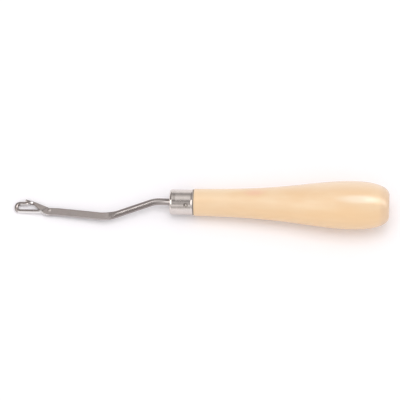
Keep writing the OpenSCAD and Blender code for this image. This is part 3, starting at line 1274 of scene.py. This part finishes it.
@dataclass
class Handle:
    """The turned wooden handle with its spigot and the hole for the tang, in mm and degrees."""

    ferrule: Ferrule
    length: float = 85.9
    neck_radius: float = 6.0
    bulge_radius: float = 10.65
    bulge_at: float = 69.5
    neck_run: float = 42.0
    bulge_run: float = 17.0
    grip_steps: int = 120
    butt_run: float = 13.0
    butt_radius: float = 4.8
    butt_rise: float = 2.5
    butt_steps: int = 72
    face_rings: tuple[float, ...] = (0.9, 0.5, 0.0)
    chamfer: float = 0.25
    spigot_gap: float = 0.2
    hole_end: float = 46.0
    hole_radius: float = 1.55
    skin_inset: float = 0.012
    sides: int = 192
    crease: float = 42.0

    @property
    def butt_at(self) -> float:
        """Distance of the butt from the front of the ferrule."""
        return self.ferrule.length + self.length

    def outline(self) -> list[Point]:
        """Section of the wood.

        Returns:
            Its points, from the drill point of the tang's hole round to the middle of the butt.
        """
        inset = self.skin_inset
        seam = Vector((self.ferrule.length, self.neck_radius - inset))
        bulge = Vector((self.ferrule.length + self.bulge_at, self.bulge_radius - inset))
        butt = Vector((self.butt_at - inset, self.butt_radius - inset))
        run = Vector((1.0, 0.0))
        rise = Vector((0.0, self.butt_rise))
        grip = bezier(seam, seam + run * self.neck_run, bulge - run * self.bulge_run, bulge, self.grip_steps)
        end = bezier(bulge, bulge + run * self.butt_run, butt + rise, butt, self.butt_steps)
        front = self.ferrule.wall + self.spigot_gap
        spigot = self.ferrule.bore
        spigot_chamfer = self.ferrule.inner_round
        hole = [
            (self.hole_end + self.hole_radius, 0.0),
            (self.hole_end, self.hole_radius),
            (front, self.hole_radius),
        ]
        shoulder = [
            (front, spigot - spigot_chamfer),
            (front + spigot_chamfer, spigot),
            (seam.x, spigot),
            (seam.x, seam.y - self.chamfer),
            (seam.x + self.chamfer, seam.y),
        ]
        skin = [(p.x, p.y) for p in [*grip, *end[1:]] if p.x > seam.x + 2 * self.chamfer]
        face = [(butt.x, butt.y * ring) for ring in self.face_rings]
        return [*hole, *shoulder, *skin, *face]

    def build(self, axes: ToolAxes) -> bpy.types.Object:
        """Builds and dresses the handle.

        Args:
            axes: the tool's axes.

        Returns:
            The piece.
        """
        mesh = turned("handle_wood", self.outline(), self.sides)
        finish = LacqueredWood(axes).material()
        return dress("handle_wood", mesh, axes, finish, Body.TOOL, "handle", self.crease)


@dataclass(frozen=True)
class Station:
    """One place along the steel rod, in mm and radians.

    Args:
        centre: where the rod's centre line is.
        heading: direction in which the rod goes on.
        radius: radius of the rod.
        half: half of its thickness across the crank's plane.
    """

    centre: Vector
    heading: float
    radius: float
    half: float


@dataclass
class Shank:
    """One length of steel rod: tang, crank, flattened and slotted stem, and hook, in mm and degrees."""

    rod_radius: float = 1.5
    tang_length: float = 45.0
    tang_radius: float = 1.55
    tang_chamfer: float = 0.5
    tang_step: float = 0.05
    wood_front: float = 0.7
    neck_length: float = 6.6
    leg_angle: float = 20.9
    upper_bend: float = 11.0
    elbow_bend: float = 19.0
    stem_angle: float = 4.9
    pivot_reach: float = 53.0
    hook_drop: float = 5.7
    stem_radius: float = 1.7
    stem_half: float = 1.0
    flat_fade: float = 4.0
    kink_back: float = 3.5
    kink_bend: float = 20.0
    head_front: float = 0.8
    head_taper: float = 3.0
    head_steps: int = 16
    wire_radius: float = 0.85
    hook_gap: float = 3.5
    hook_reach: float = 12.9
    tip_length: float = 4.7
    tip_taper: float = 2.0
    tip_radius: float = 0.45
    tip_steps: int = 10
    dome_turn: float = 89.0
    slot_width: float = 0.95
    saw_radius: float = 12.0
    saw_back: float = 1.5
    slot_floor: float = 0.6
    pivot_rise: float = 0.4
    rivet_radius: float = 0.5
    flat_rounding: float = 0.12
    bend_step: float = 1.5
    least_bend_steps: int = 4
    sides: int = 96
    crease: float = 38.0

    @property
    def pivot(self) -> Vector:
        """Centre of the rivet in the plane of the crank."""
        return Vector((-self.pivot_reach, self.pivot_rise - self.hook_drop))

    @property
    def round_half(self) -> float:
        """A half thickness at which the rod stays round."""
        return self.rod_radius + self.flat_rounding

    @staticmethod
    def side(heading: float) -> Vector:
        """Direction to the left of a heading."""
        return Vector((-math.sin(heading), math.cos(heading)))

    def bend(self, start: Vector, turn: Span, radius: float, size: tuple[float, float]) -> list[Station]:
        """Stations round a bend.

        Args:
            start: where the bend starts.
            turn: first and last heading, in degrees.
            radius: centre line radius.
            size: the rod's radius and half thickness.

        Returns:
            The stations, with the first one at the start.
        """
        first, last = (math.radians(a) for a in turn)
        way = math.copysign(1.0, last - first)
        centre = start + self.side(first) * (way * radius)
        steps = max(self.least_bend_steps, math.ceil(abs(turn[1] - turn[0]) / self.bend_step))
        stations = []
        for i in range(steps + 1):
            heading = first + (last - first) * i / steps
            stations.append(Station(centre - self.side(heading) * (way * radius), heading, *size))
        return stations

    def stations(self) -> list[Station]:
        """All places along the rod.

        Returns:
            The stations, from the end of the tang to the tip of the hook.
        """
        hook_x = -self.pivot_reach - self.hook_reach
        wire = (self.wire_radius, self.stem_half + self.flat_rounding)
        hook = self.bend(Vector((hook_x, -self.hook_drop)), (180, 0), self.hook_gap / 2, wire)
        return [*self.tang(), *self.crank(), *self.head(), *hook, *self.tip(hook_x)]

    def tang(self) -> list[Station]:
        """The tang, from its chamfered end to the step where it becomes the rod.

        Returns:
            Its stations.
        """
        ends = (
            (self.tang_length, self.tang_radius - self.tang_chamfer),
            (self.tang_length - self.tang_chamfer, self.tang_radius),
            (self.wood_front + self.tang_step, self.tang_radius),
            (self.wood_front - self.tang_step, self.rod_radius),
        )
        return [Station(Vector((x, 0.0)), math.pi, radius, 2 * self.round_half) for x, radius in ends]

    def crank(self) -> list[Station]:
        """The two bends of the rod, and the kink where the flat stem turns level again.

        Returns:
            Its stations. The flats fade in along the elbow.
        """
        leg = math.radians(self.leg_angle)
        stem = math.radians(self.stem_angle)
        leg_dir = Vector((-math.cos(leg), -math.sin(leg)))
        stem_dir = Vector((-math.cos(stem), math.sin(stem)))
        kink = Vector((self.kink_back - self.pivot_reach, -self.hook_drop))
        level = self.hook_drop - kink.x * math.tan(stem) + self.neck_length * math.tan(leg)
        elbow_x = level / (math.tan(leg) + math.tan(stem))
        elbow = Vector((-elbow_x, -(elbow_x - self.neck_length) * math.tan(leg)))
        neck_start = Vector((self.upper_bend * math.tan(leg / 2) - self.neck_length, 0.0))
        leg_end = elbow - leg_dir * self.elbow_bend * math.tan((leg + stem) / 2)
        stem_end = kink - stem_dir * self.kink_bend * math.tan(stem / 2)
        rod = (self.rod_radius, self.round_half)
        flat = (self.stem_radius, self.stem_half)
        made = self.bend(neck_start, (180, 180 + self.leg_angle), self.upper_bend, rod)
        for s in self.bend(leg_end, (180 + self.leg_angle, 180 - self.stem_angle), self.elbow_bend, rod):
            t = min(1.0, (s.centre - leg_end).length / self.flat_fade)
            radius = self.rod_radius + (self.stem_radius - self.rod_radius) * t
            half = self.round_half + (self.stem_half - self.round_half) * t
            made.append(Station(s.centre, s.heading, radius, half))
        return made + self.bend(stem_end, (180 - self.stem_angle, 180), self.kink_bend, flat)

    def head(self) -> list[Station]:
        """The head in front of the rivet, which tapers to the wire of the hook.

        Returns:
            Its stations.
        """
        start = Vector((-self.pivot_reach - self.head_front, -self.hook_drop))
        made = []
        for i in range(self.head_steps + 1):
            t = i / self.head_steps
            ease = t * t * (3 - 2 * t)
            radius = self.stem_radius + (self.wire_radius - self.stem_radius) * ease
            centre = start - Vector((self.head_taper * t, 0.0))
            made.append(Station(centre, math.pi, radius, self.stem_half))
        return made

    def tip(self, hook_x: float) -> list[Station]:
        """The end of the returning run: it tapers on its inner side and ends in a dome.

        Args:
            hook_x: where the hook's bend starts.

        Returns:
            Its stations.
        """
        outer_y = self.hook_gap - self.hook_drop + self.wire_radius
        end = hook_x + self.tip_length
        taper = self.tip_taper - self.tip_radius
        half = 2 * self.wire_radius
        made = []
        for i in range(self.tip_steps + 1):
            t = i / self.tip_steps
            radius = self.wire_radius + (self.tip_radius - self.wire_radius) * t
            x = end - self.tip_radius - (1 - t) * taper
            made.append(Station(Vector((x, outer_y - radius)), 0.0, radius, half))
        for i in range(1, self.tip_steps + 1):
            a = math.radians(self.dome_turn * i / self.tip_steps)
            x = end - self.tip_radius * (1 - math.sin(a))
            centre = Vector((x, outer_y - self.tip_radius))
            made.append(Station(centre, 0.0, self.tip_radius * math.cos(a), half))
        return made

    def path(self) -> bpy.types.Mesh:
        """The centre line.

        Returns:
            A chain of edges with the rod's sizes at each point.
        """
        stations = self.stations()
        mesh = bpy.data.meshes.new("shank_path")
        points = [(s.centre.x, s.centre.y, 0.0) for s in stations]
        mesh.from_pydata(points, [(i, i + 1) for i in range(len(points) - 1)], [])
        for name, values in (
            ("rod_radius", [s.radius for s in stations]),
            ("half_thickness", [s.half for s in stations]),
        ):
            layer = mesh.attributes.new(name, "FLOAT", "POINT")
            layer.data.foreach_set("value", values)
        return mesh

    def tree(self) -> bpy.types.NodeTree:
        """A tree that sweeps the rod, presses the flats and cuts the slot and the rivet's hole.

        Returns:
            The tree, with named inputs for its sizes.
        """
        tree = bpy.data.node_groups.new("swept_rod", "GeometryNodeTree")
        for kind, names in (
            ("Geometry", ("Geometry",)),
            ("Float", ("Flat Rounding", "Saw Radius", "Slot Width", "Rivet Radius")),
            ("Vector", ("Saw Centre", "Rivet Centre")),
            ("Int", ("Sides", "Cutter Sides")),
            ("Material", ("Finish",)),
        ):
            for name in names:
                tree.interface.new_socket(name, in_out="INPUT", socket_type=f"NodeSocket{kind}")
        tree.interface.new_socket("Geometry", in_out="OUTPUT", socket_type="NodeSocketGeometry")
        graph = Graph(tree)
        given = graph.add("NodeGroupInput")
        fed = {s.name: Wire(graph, s) for s in given.socket.node.outputs if s.name}
        rod = self.cut(graph, self.pressed(graph, self.swept(graph, fed), fed), fed)
        rod = graph.add("GeometryNodeRealizeInstances", {}, {"Geometry": rod})
        rod = graph.add("GeometryNodeSetMaterial", {}, {"Geometry": rod, "Material": fed["Finish"]})
        graph.add("NodeGroupOutput", {}, {"Geometry": rod})
        return tree

    @staticmethod
    def swept(graph: Graph, fed: dict[str, Wire]) -> Wire:
        """Sweeps a round section along the path.

        Args:
            graph: the tree's graph.
            fed: the tree's inputs by name.

        Returns:
            The round rod.
        """
        radius = graph.add("GeometryNodeInputNamedAttribute", {"data_type": "FLOAT"}, {"Name": "rod_radius"})
        curve = graph.add("GeometryNodeMeshToCurve", {}, {"Mesh": fed["Geometry"]})
        curve = graph.add("GeometryNodeSetCurveNormal", {"mode": "Z_UP"}, {"Curve": curve})
        circle = {"Resolution": fed["Sides"], "Radius": 1.0}
        section = graph.add("GeometryNodeCurvePrimitiveCircle", {}, circle)
        inputs = {"Curve": curve, "Profile Curve": section, "Scale": radius, "Fill Caps": True}
        return graph.add("GeometryNodeCurveToMesh", {}, inputs)

    @staticmethod
    def pressed(graph: Graph, rod: Wire, fed: dict[str, Wire]) -> Wire:
        """Presses the rod flat where its half thickness is under its radius.

        Args:
            graph: the tree's graph.
            rod: the round rod.
            fed: the tree's inputs by name.

        Returns:
            The rod with its flats.
        """
        named = {"Name": "half_thickness"}
        half = graph.add("GeometryNodeInputNamedAttribute", {"data_type": "FLOAT"}, named)
        x, y, z = graph.parts(graph.add("GeometryNodeInputPosition"))
        height = abs(z).smooth_min(half, fed["Flat Rounding"]) * z.sign()
        place = graph.add("ShaderNodeCombineXYZ", {}, {0: x, 1: y, 2: height})
        return graph.add("GeometryNodeSetPosition", {}, {"Geometry": rod, "Position": place})

    def cut(self, graph: Graph, rod: Wire, fed: dict[str, Wire]) -> Wire:
        """Saws the slot and drills the rivet's hole.

        Args:
            graph: the tree's graph.
            rod: the rod with its flats.
            fed: the tree's inputs by name.

        Returns:
            The finished rod.
        """
        for size, depth, centre in (
            (fed["Saw Radius"], fed["Slot Width"], fed["Saw Centre"]),
            (fed["Rivet Radius"], 4 * self.stem_half, fed["Rivet Centre"]),
        ):
            inputs = {"Vertices": fed["Cutter Sides"], "Radius": size, "Depth": depth}
            cutter = graph.add("GeometryNodeMeshCylinder", {}, inputs)
            cutter = graph.add("GeometryNodeTransform", {}, {"Geometry": cutter, "Translation": centre})
            settings = {"operation": "DIFFERENCE", "solver": "EXACT"}
            rod = graph.add("GeometryNodeMeshBoolean", settings, {"Mesh 1": rod, "Mesh 2": cutter})
        return rod

    def build(self, axes: ToolAxes) -> bpy.types.Object:
        """Builds and dresses the shank.

        Args:
            axes: the tool's axes.

        Returns:
            The piece.
        """
        low = -self.hook_drop
        finish = ShankSteel(
            axes,
            wire_lines=(low, low + self.hook_gap),
            leg_corner=(-self.neck_length, 0.0),
            leg_slope=self.leg_angle,
            stem_corner=(self.kink_back - self.pivot_reach, low),
            stem_slope=-self.stem_angle,
        ).material()
        saw_y = self.slot_floor + self.saw_radius - self.hook_drop - self.stem_radius
        values = {
            "Flat Rounding": self.flat_rounding,
            "Saw Radius": self.saw_radius,
            "Slot Width": self.slot_width,
            "Rivet Radius": self.rivet_radius,
            "Saw Centre": (self.saw_back - self.pivot_reach, saw_y, 0.0),
            "Rivet Centre": (*self.pivot, 0.0),
            "Sides": self.sides,
            "Cutter Sides": 3 * self.sides,
            "Finish": finish,
        }
        mesh = grown("shank_rod", self.path(), self.tree(), values)
        return dress("shank_rod", mesh, axes, finish, Body.TOOL, "shank", self.crease)


def evaluated_mesh(holder: bpy.types.Object, name: str) -> bpy.types.Mesh:
    """What an object's modifiers make of its mesh.

    Args:
        holder: the object.
        name: name of the result.

    Returns:
        A plain mesh.
    """
    evaluated = holder.evaluated_get(bpy.context.evaluated_depsgraph_get())
    mesh = bpy.data.meshes.new_from_object(evaluated)
    mesh.name = name
    return mesh


def grown(
    name: str,
    base: bpy.types.Mesh,
    tree: bpy.types.NodeTree,
    values: dict[str, Any],
) -> bpy.types.Mesh:
    """Runs a geometry tree on a mesh.

    Args:
        name: name of the result.
        base: the mesh that the tree starts from.
        tree: the tree.
        values: the tree's inputs by name.

    Returns:
        What the tree makes, as a plain mesh.
    """
    holder = linked(f"{name}_holder", base)
    modifier = holder.modifiers.new("growth", "NODES")
    modifier.node_group = tree
    for item in tree.interface.items_tree:
        if item.in_out == "INPUT" and item.name in values:
            modifier[item.identifier] = values[item.name]
    mesh = evaluated_mesh(holder, name)
    holder.modifiers.clear()
    bpy.data.objects.remove(holder)
    return mesh


@dataclass
class Latch:
    """The stamped latch: an eye, a blade that narrows to a neck, and a spoon, in mm and degrees.

    Its own axes run from the rivet along the blade (u), towards its back (v) and across (w).
    """

    shank: Shank
    thickness: float = 0.85
    blade_radius: float = 1.2
    blade_run: float = 4.6
    neck_at: float = 8.0
    neck_height: float = 1.0
    neck_overlap: float = 0.5
    angle: float = 21.8
    spoon_radius: float = 0.85
    spoon_wall: float = 0.22
    spoon_length: float = 3.45
    spoon_sides: int = 96
    droop: float = 7.0
    flare: float = 0.12
    flare_length: float = 0.7
    flare_steps: int = 8
    skirt: float = 0.35
    eye_gap: float = 0.05
    eye_sides: int = 64
    edge_rounding: float = 0.14
    edge_steps: int = 3
    back_start: float = -0.6
    back_length: float = 1.9
    hollow_start: float = 0.8
    hollow_length: float = 0.8
    dome_steps: int = 20
    round_steps: int = 32
    axis_rise: float = 0.2
    crease: float = 38.0

    @property
    def spoon_outer(self) -> float:
        """Outer radius of the spoon."""
        return self.spoon_radius + self.spoon_wall

    def blade_mesh(self) -> bpy.types.Mesh:
        """The flat blade with rounded edges.

        Returns:
            A closed mesh on the latch's own axes, without its eye.
        """
        r = self.blade_radius
        turns = [math.pi * (0.5 + i / self.round_steps) for i in range(self.round_steps + 1)]
        end = self.neck_at + self.neck_overlap
        outline = [
            *((r * math.cos(a), r * math.sin(a)) for a in turns),
            (self.blade_run, -r),
            (self.neck_at, r - self.neck_height),
            (end, r - self.neck_height),
            (end, r),
        ]
        bm = bmesh.new()
        verts = [bm.verts.new((u, v, -self.thickness / 2)) for u, v in outline]
        face = bm.faces.new(verts)
        lifted = bmesh.ops.extrude_face_region(bm, geom=[face])
        moved = [g for g in lifted["geom"] if isinstance(g, bmesh.types.BMVert)]
        bmesh.ops.translate(bm, verts=moved, vec=(0, 0, self.thickness))
        bmesh.ops.recalc_face_normals(bm, faces=bm.faces)
        rims = [e for e in bm.edges if abs(e.verts[0].co.z - e.verts[1].co.z) < TINY]
        shape = {"offset": self.edge_rounding, "segments": self.edge_steps, "profile": 0.5}
        bmesh.ops.bevel(bm, geom=rims, affect="EDGES", **shape)
        return settled(bm, "latch_blade")

    def dome(self, start: float, length: float, radius: float) -> list[Point]:
        """Section of the rounded back of the spoon or of its hollow, from the axis outwards."""
        turns = [math.pi / 2 * i / self.dome_steps for i in range(self.dome_steps + 1)]
        return [(start + length * (1 - math.cos(a)), radius * math.sin(a)) for a in turns]

    def flared(self, radius: float) -> list[Point]:
        """The flared mouth of the spoon, outside or inside.

        Args:
            radius: radius where the flare begins.

        Returns:
            Its section, from there to the mouth.
        """
        shares = [i / self.flare_steps for i in range(self.flare_steps + 1)]
        end = self.spoon_length
        return [(end - self.flare_length * (1 - t), radius + self.flare * t * t) for t in shares]

    def spoon_mesh(self) -> bpy.types.Mesh:
        """The spoon, turned round its drooping axis and cut open below.

        Returns:
            A closed mesh on the latch's own axes.
        """
        back = self.dome(self.back_start, self.back_length, self.spoon_outer)
        hollow = self.dome(self.hollow_start, self.hollow_length, self.spoon_radius)
        outer = back + self.flared(self.spoon_outer)
        inner = hollow + self.flared(self.spoon_radius)
        mesh = turned("latch_spoon", [*outer, *reversed(inner)], self.spoon_sides)
        bm = bmesh.new()
        bm.from_mesh(mesh)
        geometry = [*bm.verts, *bm.edges, *bm.faces]
        plane = {"plane_co": (0, -self.skirt, 0), "plane_no": (0, -1, 0)}
        cut = bmesh.ops.bisect_plane(bm, geom=geometry, clear_outer=True, **plane)
        rim = [g for g in cut["geom_cut"] if isinstance(g, bmesh.types.BMEdge)]
        bmesh.ops.edgenet_fill(bm, edges=rim)
        bmesh.ops.recalc_face_normals(bm, faces=bm.faces)
        bm.to_mesh(mesh)
        bm.free()
        turn = Matrix.Rotation(math.radians(-self.droop), 4, "Z")
        mesh.transform(Matrix.Translation((self.neck_at, self.axis_rise, 0)) @ turn)
        return mesh

    def eye_mesh(self) -> bpy.types.Mesh:
        """The cutter of the hole round the rivet.

        Returns:
            A closed pin, longer than the blade is thick.
        """
        r = self.shank.rivet_radius + self.eye_gap
        shape = {"radius1": r, "radius2": r, "depth": 2 * self.thickness}
        bm = bmesh.new()
        bmesh.ops.create_cone(bm, cap_ends=True, segments=self.eye_sides, **shape)
        return settled(bm, "latch_eye")

    def placing(self) -> Matrix:
        """From the latch's own axes to the tool's.

        Returns:
            The matrix, which mirrors as well.
        """
        turn = Matrix.Rotation(math.radians(self.angle), 4, "Z")
        flip = Matrix.Scale(-1, 4, Vector((1, 0, 0)))
        return Matrix.Translation((*self.shank.pivot, 0.0)) @ flip @ turn

    def build(self, axes: ToolAxes) -> bpy.types.Object:
        """Builds and dresses the latch.

        Args:
            axes: the tool's axes.

        Returns:
            The piece.
        """
        blade = linked("latch_blade", self.blade_mesh())
        spoon = linked("latch_spoon", self.spoon_mesh())
        eye = linked("latch_eye", self.eye_mesh())
        for part, operation in ((spoon, "UNION"), (eye, "DIFFERENCE")):
            cut = blade.modifiers.new(operation, "BOOLEAN")
            cut.object = part
            cut.operation = operation
            cut.solver = "EXACT"
        mesh = evaluated_mesh(blade, "latch_lever")
        for part in (blade, spoon, eye):
            bpy.data.objects.remove(part)
        mesh.transform(self.placing())
        mesh.flip_normals()
        finish = LatchSteel(axes).material()
        return dress("latch_lever", mesh, axes, finish, Body.LATCH, "latch", self.crease)


@dataclass
class Rivet:
    """The rivet with its two peened heads, in mm and degrees."""

    shank: Shank
    head_radius: float = 0.8
    head_height: float = 0.16
    head_steps: int = 8
    sides: int = 64
    crease: float = 38.0
    tint: Colour = (0.43, 0.39, 0.37)
    worn: Colour = (0.34, 0.30, 0.28)
    rough: float = 0.45
    fineness: float = 3.0

    def outline(self) -> list[Point]:
        """Section of the rivet.

        Returns:
            Its points, from the top of one head to the top of the other.
        """
        dome = (self.head_radius**2 + self.head_height**2) / (2 * self.head_height)
        reach = self.shank.stem_half + self.head_height
        half = math.degrees(math.asin(self.head_radius / dome))
        _, *head = arc((reach - dome, 0.0), dome, 0, half, self.head_steps)
        front = [(reach, 0.0), *head, (self.shank.stem_half, self.shank.rivet_radius)]
        return [*front, *[(-x, r) for x, r in reversed(front)]]

    def build(self, axes: ToolAxes) -> bpy.types.Object:
        """Builds and dresses the rivet.

        Args:
            axes: the tool's axes.

        Returns:
            The piece.
        """
        mesh = turned("rivet_pin", self.outline(), self.sides)
        upright = Matrix.Rotation(math.radians(-90), 4, "Y")
        mesh.transform(Matrix.Translation((*self.shank.pivot, 0.0)) @ upright)
        looks = {"tint": self.tint, "worn": self.worn, "rough": self.rough, "fineness": self.fineness}
        finish = WorkedSteel(axes, **looks).material()
        return dress("rivet_pin", mesh, axes, finish, Body.TOOL, "latch_rivet", self.crease)


@dataclass(frozen=True)
class Lamp:
    """A square soft box that faces the tool.

    Args:
        name: name of the lamp.
        azimuth: 0 is the camera's side (-y) and 90 the +x side, in degrees.
        elevation: angle above the table, in degrees.
        size: side of the box, in metres.
        watts: its power.
        away: its distance, in metres.
    """

    name: str
    azimuth: float
    elevation: float
    size: float
    watts: float
    away: float = 1.2

    def build(self) -> None:
        """Hangs the lamp, which neither the camera nor reflections see."""
        data = bpy.data.lights.new(self.name, "AREA")
        data.shape = "SQUARE"
        data.size = self.size
        data.energy = self.watts
        a = math.radians(self.azimuth)
        e = math.radians(self.elevation)
        back = Vector((math.sin(a) * math.cos(e), -math.cos(a) * math.cos(e), math.sin(e)))
        lamp = linked(self.name, data)
        lamp.location = back * self.away
        lamp.rotation_euler = back.to_track_quat("Z", "Y").to_euler()
        lamp.visible_camera = False
        lamp.visible_glossy = False


@dataclass(frozen=True)
class Panel:
    """A part of the room that only reflections see.

    Args:
        side: where it lies to the side, from -1 on the left to 1 on the right.
        lean: where it lies from front to back, in degrees from overhead.
        colour: its colour, where 1 is white.
    """

    side: Run
    lean: Run
    colour: Colour


LEFT = Run((-0.18, -0.40))
RIGHT = Run((0.02, 0.20))


@dataclass(frozen=True)
class Room:
    """A white tent, of which metal and lacquer see panels and bands.

    Args:
        tent: its colour as a light.
        white: its colour to the camera.
        half_turn: degrees from the front of the room, over the top, to its back.
        bands: (lean, level) pairs, with the lean in degrees from overhead, towards the back.
        warmth: the bands' colour at a level of 1.
        panels: what stands in front of the bands, from the lowest layer to the top one.
    """

    tent: Colour = (0.80, 0.80, 0.81)
    white: Colour = (1.0, 1.0, 1.0)
    half_turn: float = 180.0
    bands: tuple[tuple[float, float], ...] = (
        (-90, 0.92),
        (-79, 0.70),
        (-74, 0.52),
        (-67, 0.50),
        (-62, 0.62),
        (-57, 0.82),
        (-50, 0.80),
        (-44, 0.50),
        (-39, 0.36),
        (-33, 0.47),
        (-24, 0.45),
        (-18, 0.38),
        (-11, 0.27),
        (-5, 0.44),
        (0, 0.64),
        (6, 0.77),
        (15, 0.84),
        (26, 0.82),
        (36, 0.62),
        (46, 0.46),
        (58, 0.35),
        (67, 0.46),
        (77, 0.80),
    )
    warmth: Colour = (1.0, 0.975, 0.965)
    panels: tuple[Panel, ...] = (
        Panel(LEFT, Run((-2, 6)), (0.26, 0.24, 0.23)),
        Panel(LEFT, Run((-50, -42), (2, -5)), (1.9, 1.88, 1.85)),
        Panel(RIGHT, Run((-2, -14)), (0.30, 0.27, 0.26)),
        Panel(RIGHT, Run((-8, -1), (28, 18)), (5.4, 5.35, 5.3)),
    )

    def build(self) -> None:
        """Makes the room the scene's world."""
        world = bpy.data.worlds.new("room")
        world.use_nodes = True
        world.node_tree.nodes.clear()
        graph = Graph(world.node_tree)
        side, back, up = graph.parts(graph.add("ShaderNodeTexCoord", {}, {}, "Generated"))
        lean = back.angle_from(up) * math.degrees(1.0)
        stops = [
            (lean_at / self.half_turn + 0.5, tuple(level * tone for tone in self.warmth))
            for lean_at, level in self.bands
        ]
        fed = {"Fac": lean / self.half_turn + 0.5}
        shade = graph.layered(
            graph.add("ShaderNodeValToRGB", {"stops": stops}, fed, "Color"),
            *((panel.side.share(side) * panel.lean.share(lean), panel.colour) for panel in self.panels),
        )
        camera = graph.add("ShaderNodeLightPath", {}, {}, "Is Camera Ray")
        shade = graph.blend(camera.beside("Is Glossy Ray"), graph.blend(camera, self.tent, self.white), shade)
        background = graph.add("ShaderNodeBackground", {}, {"Color": shade, "Strength": 1.0})
        graph.add("ShaderNodeOutputWorld", {}, {"Surface": background})
        bpy.context.scene.world = world


@dataclass
class Studio:
    """The table, the lamps, the room and the camera, in metres and degrees."""

    view_width: float = 0.1760
    lens: float = 300.0
    sensor: float = 36.0
    near: float = 0.01
    elevation: float = 68.6
    roll: float = 2.45
    aim: Place = (-0.0009, 0.0005, 0.008)
    table_half: float = 3.0
    table_cells: int = 8
    lamps: tuple[Lamp, ...] = (Lamp("top_box", 180, 84, 0.7, 3.3), Lamp("front_box", 0, 55, 1.2, 0.5))

    def table(self, axes: ToolAxes) -> None:
        """A wide pale floor at z = 0.

        Args:
            axes: the tool's axes.
        """
        bm = bmesh.new()
        cells = self.table_cells
        bmesh.ops.create_grid(bm, x_segments=cells, y_segments=cells, size=self.table_half)
        mesh = settled(bm, "table")
        mesh.materials.append(TableTop(axes).material())
        table = linked("table", mesh)

    def camera(self) -> None:
        """A long lens above the tool, turned a little so that the handle dips to the right."""
        data = bpy.data.cameras.new("camera")
        data.lens = self.lens
        data.sensor_width = self.sensor
        data.clip_start = self.near
        distance = self.view_width * self.lens / self.sensor
        e = math.radians(self.elevation)
        back = Vector((0.0, -math.cos(e), math.sin(e)))
        level = back.to_track_quat("Z", "Y").to_matrix().to_4x4()
        turn = level @ Matrix.Rotation(math.radians(self.roll), 4, "Z")
        camera = linked("camera", data)
        camera.matrix_world = Matrix.Translation(Vector(self.aim) + back * distance) @ turn
        bpy.context.scene.camera = camera

    def build(self, axes: ToolAxes) -> None:
        """Sets up everything round the tool.

        Args:
            axes: the tool's axes.
        """
        self.camera()
        self.table(axes)
        for lamp in self.lamps:
            lamp.build()
        Room().build()
        bpy.context.scene.view_settings.view_transform = "Standard"


@dataclass
class LatchHook:
    """The whole tool."""

    ferrule: Ferrule = field(default_factory=Ferrule)
    shank: Shank = field(default_factory=Shank)

    def build(self) -> None:
        """Builds every piece on its body."""
        handle = Handle(self.ferrule)
        axes = ToolAxes.from_record(frame["record"], handle.butt_at)
        Studio().build(axes)
        handle.build(axes)
        self.ferrule.build(axes)
        self.shank.build(axes)
        Latch(self.shank).build(axes)
        Rivet(self.shank).build(axes)


def main() -> None:
    """Builds the tool."""
    logging.basicConfig(level=logging.INFO, format="%(name)s: %(message)s")
    LatchHook().build()


if __name__ == "__main__":
    main()
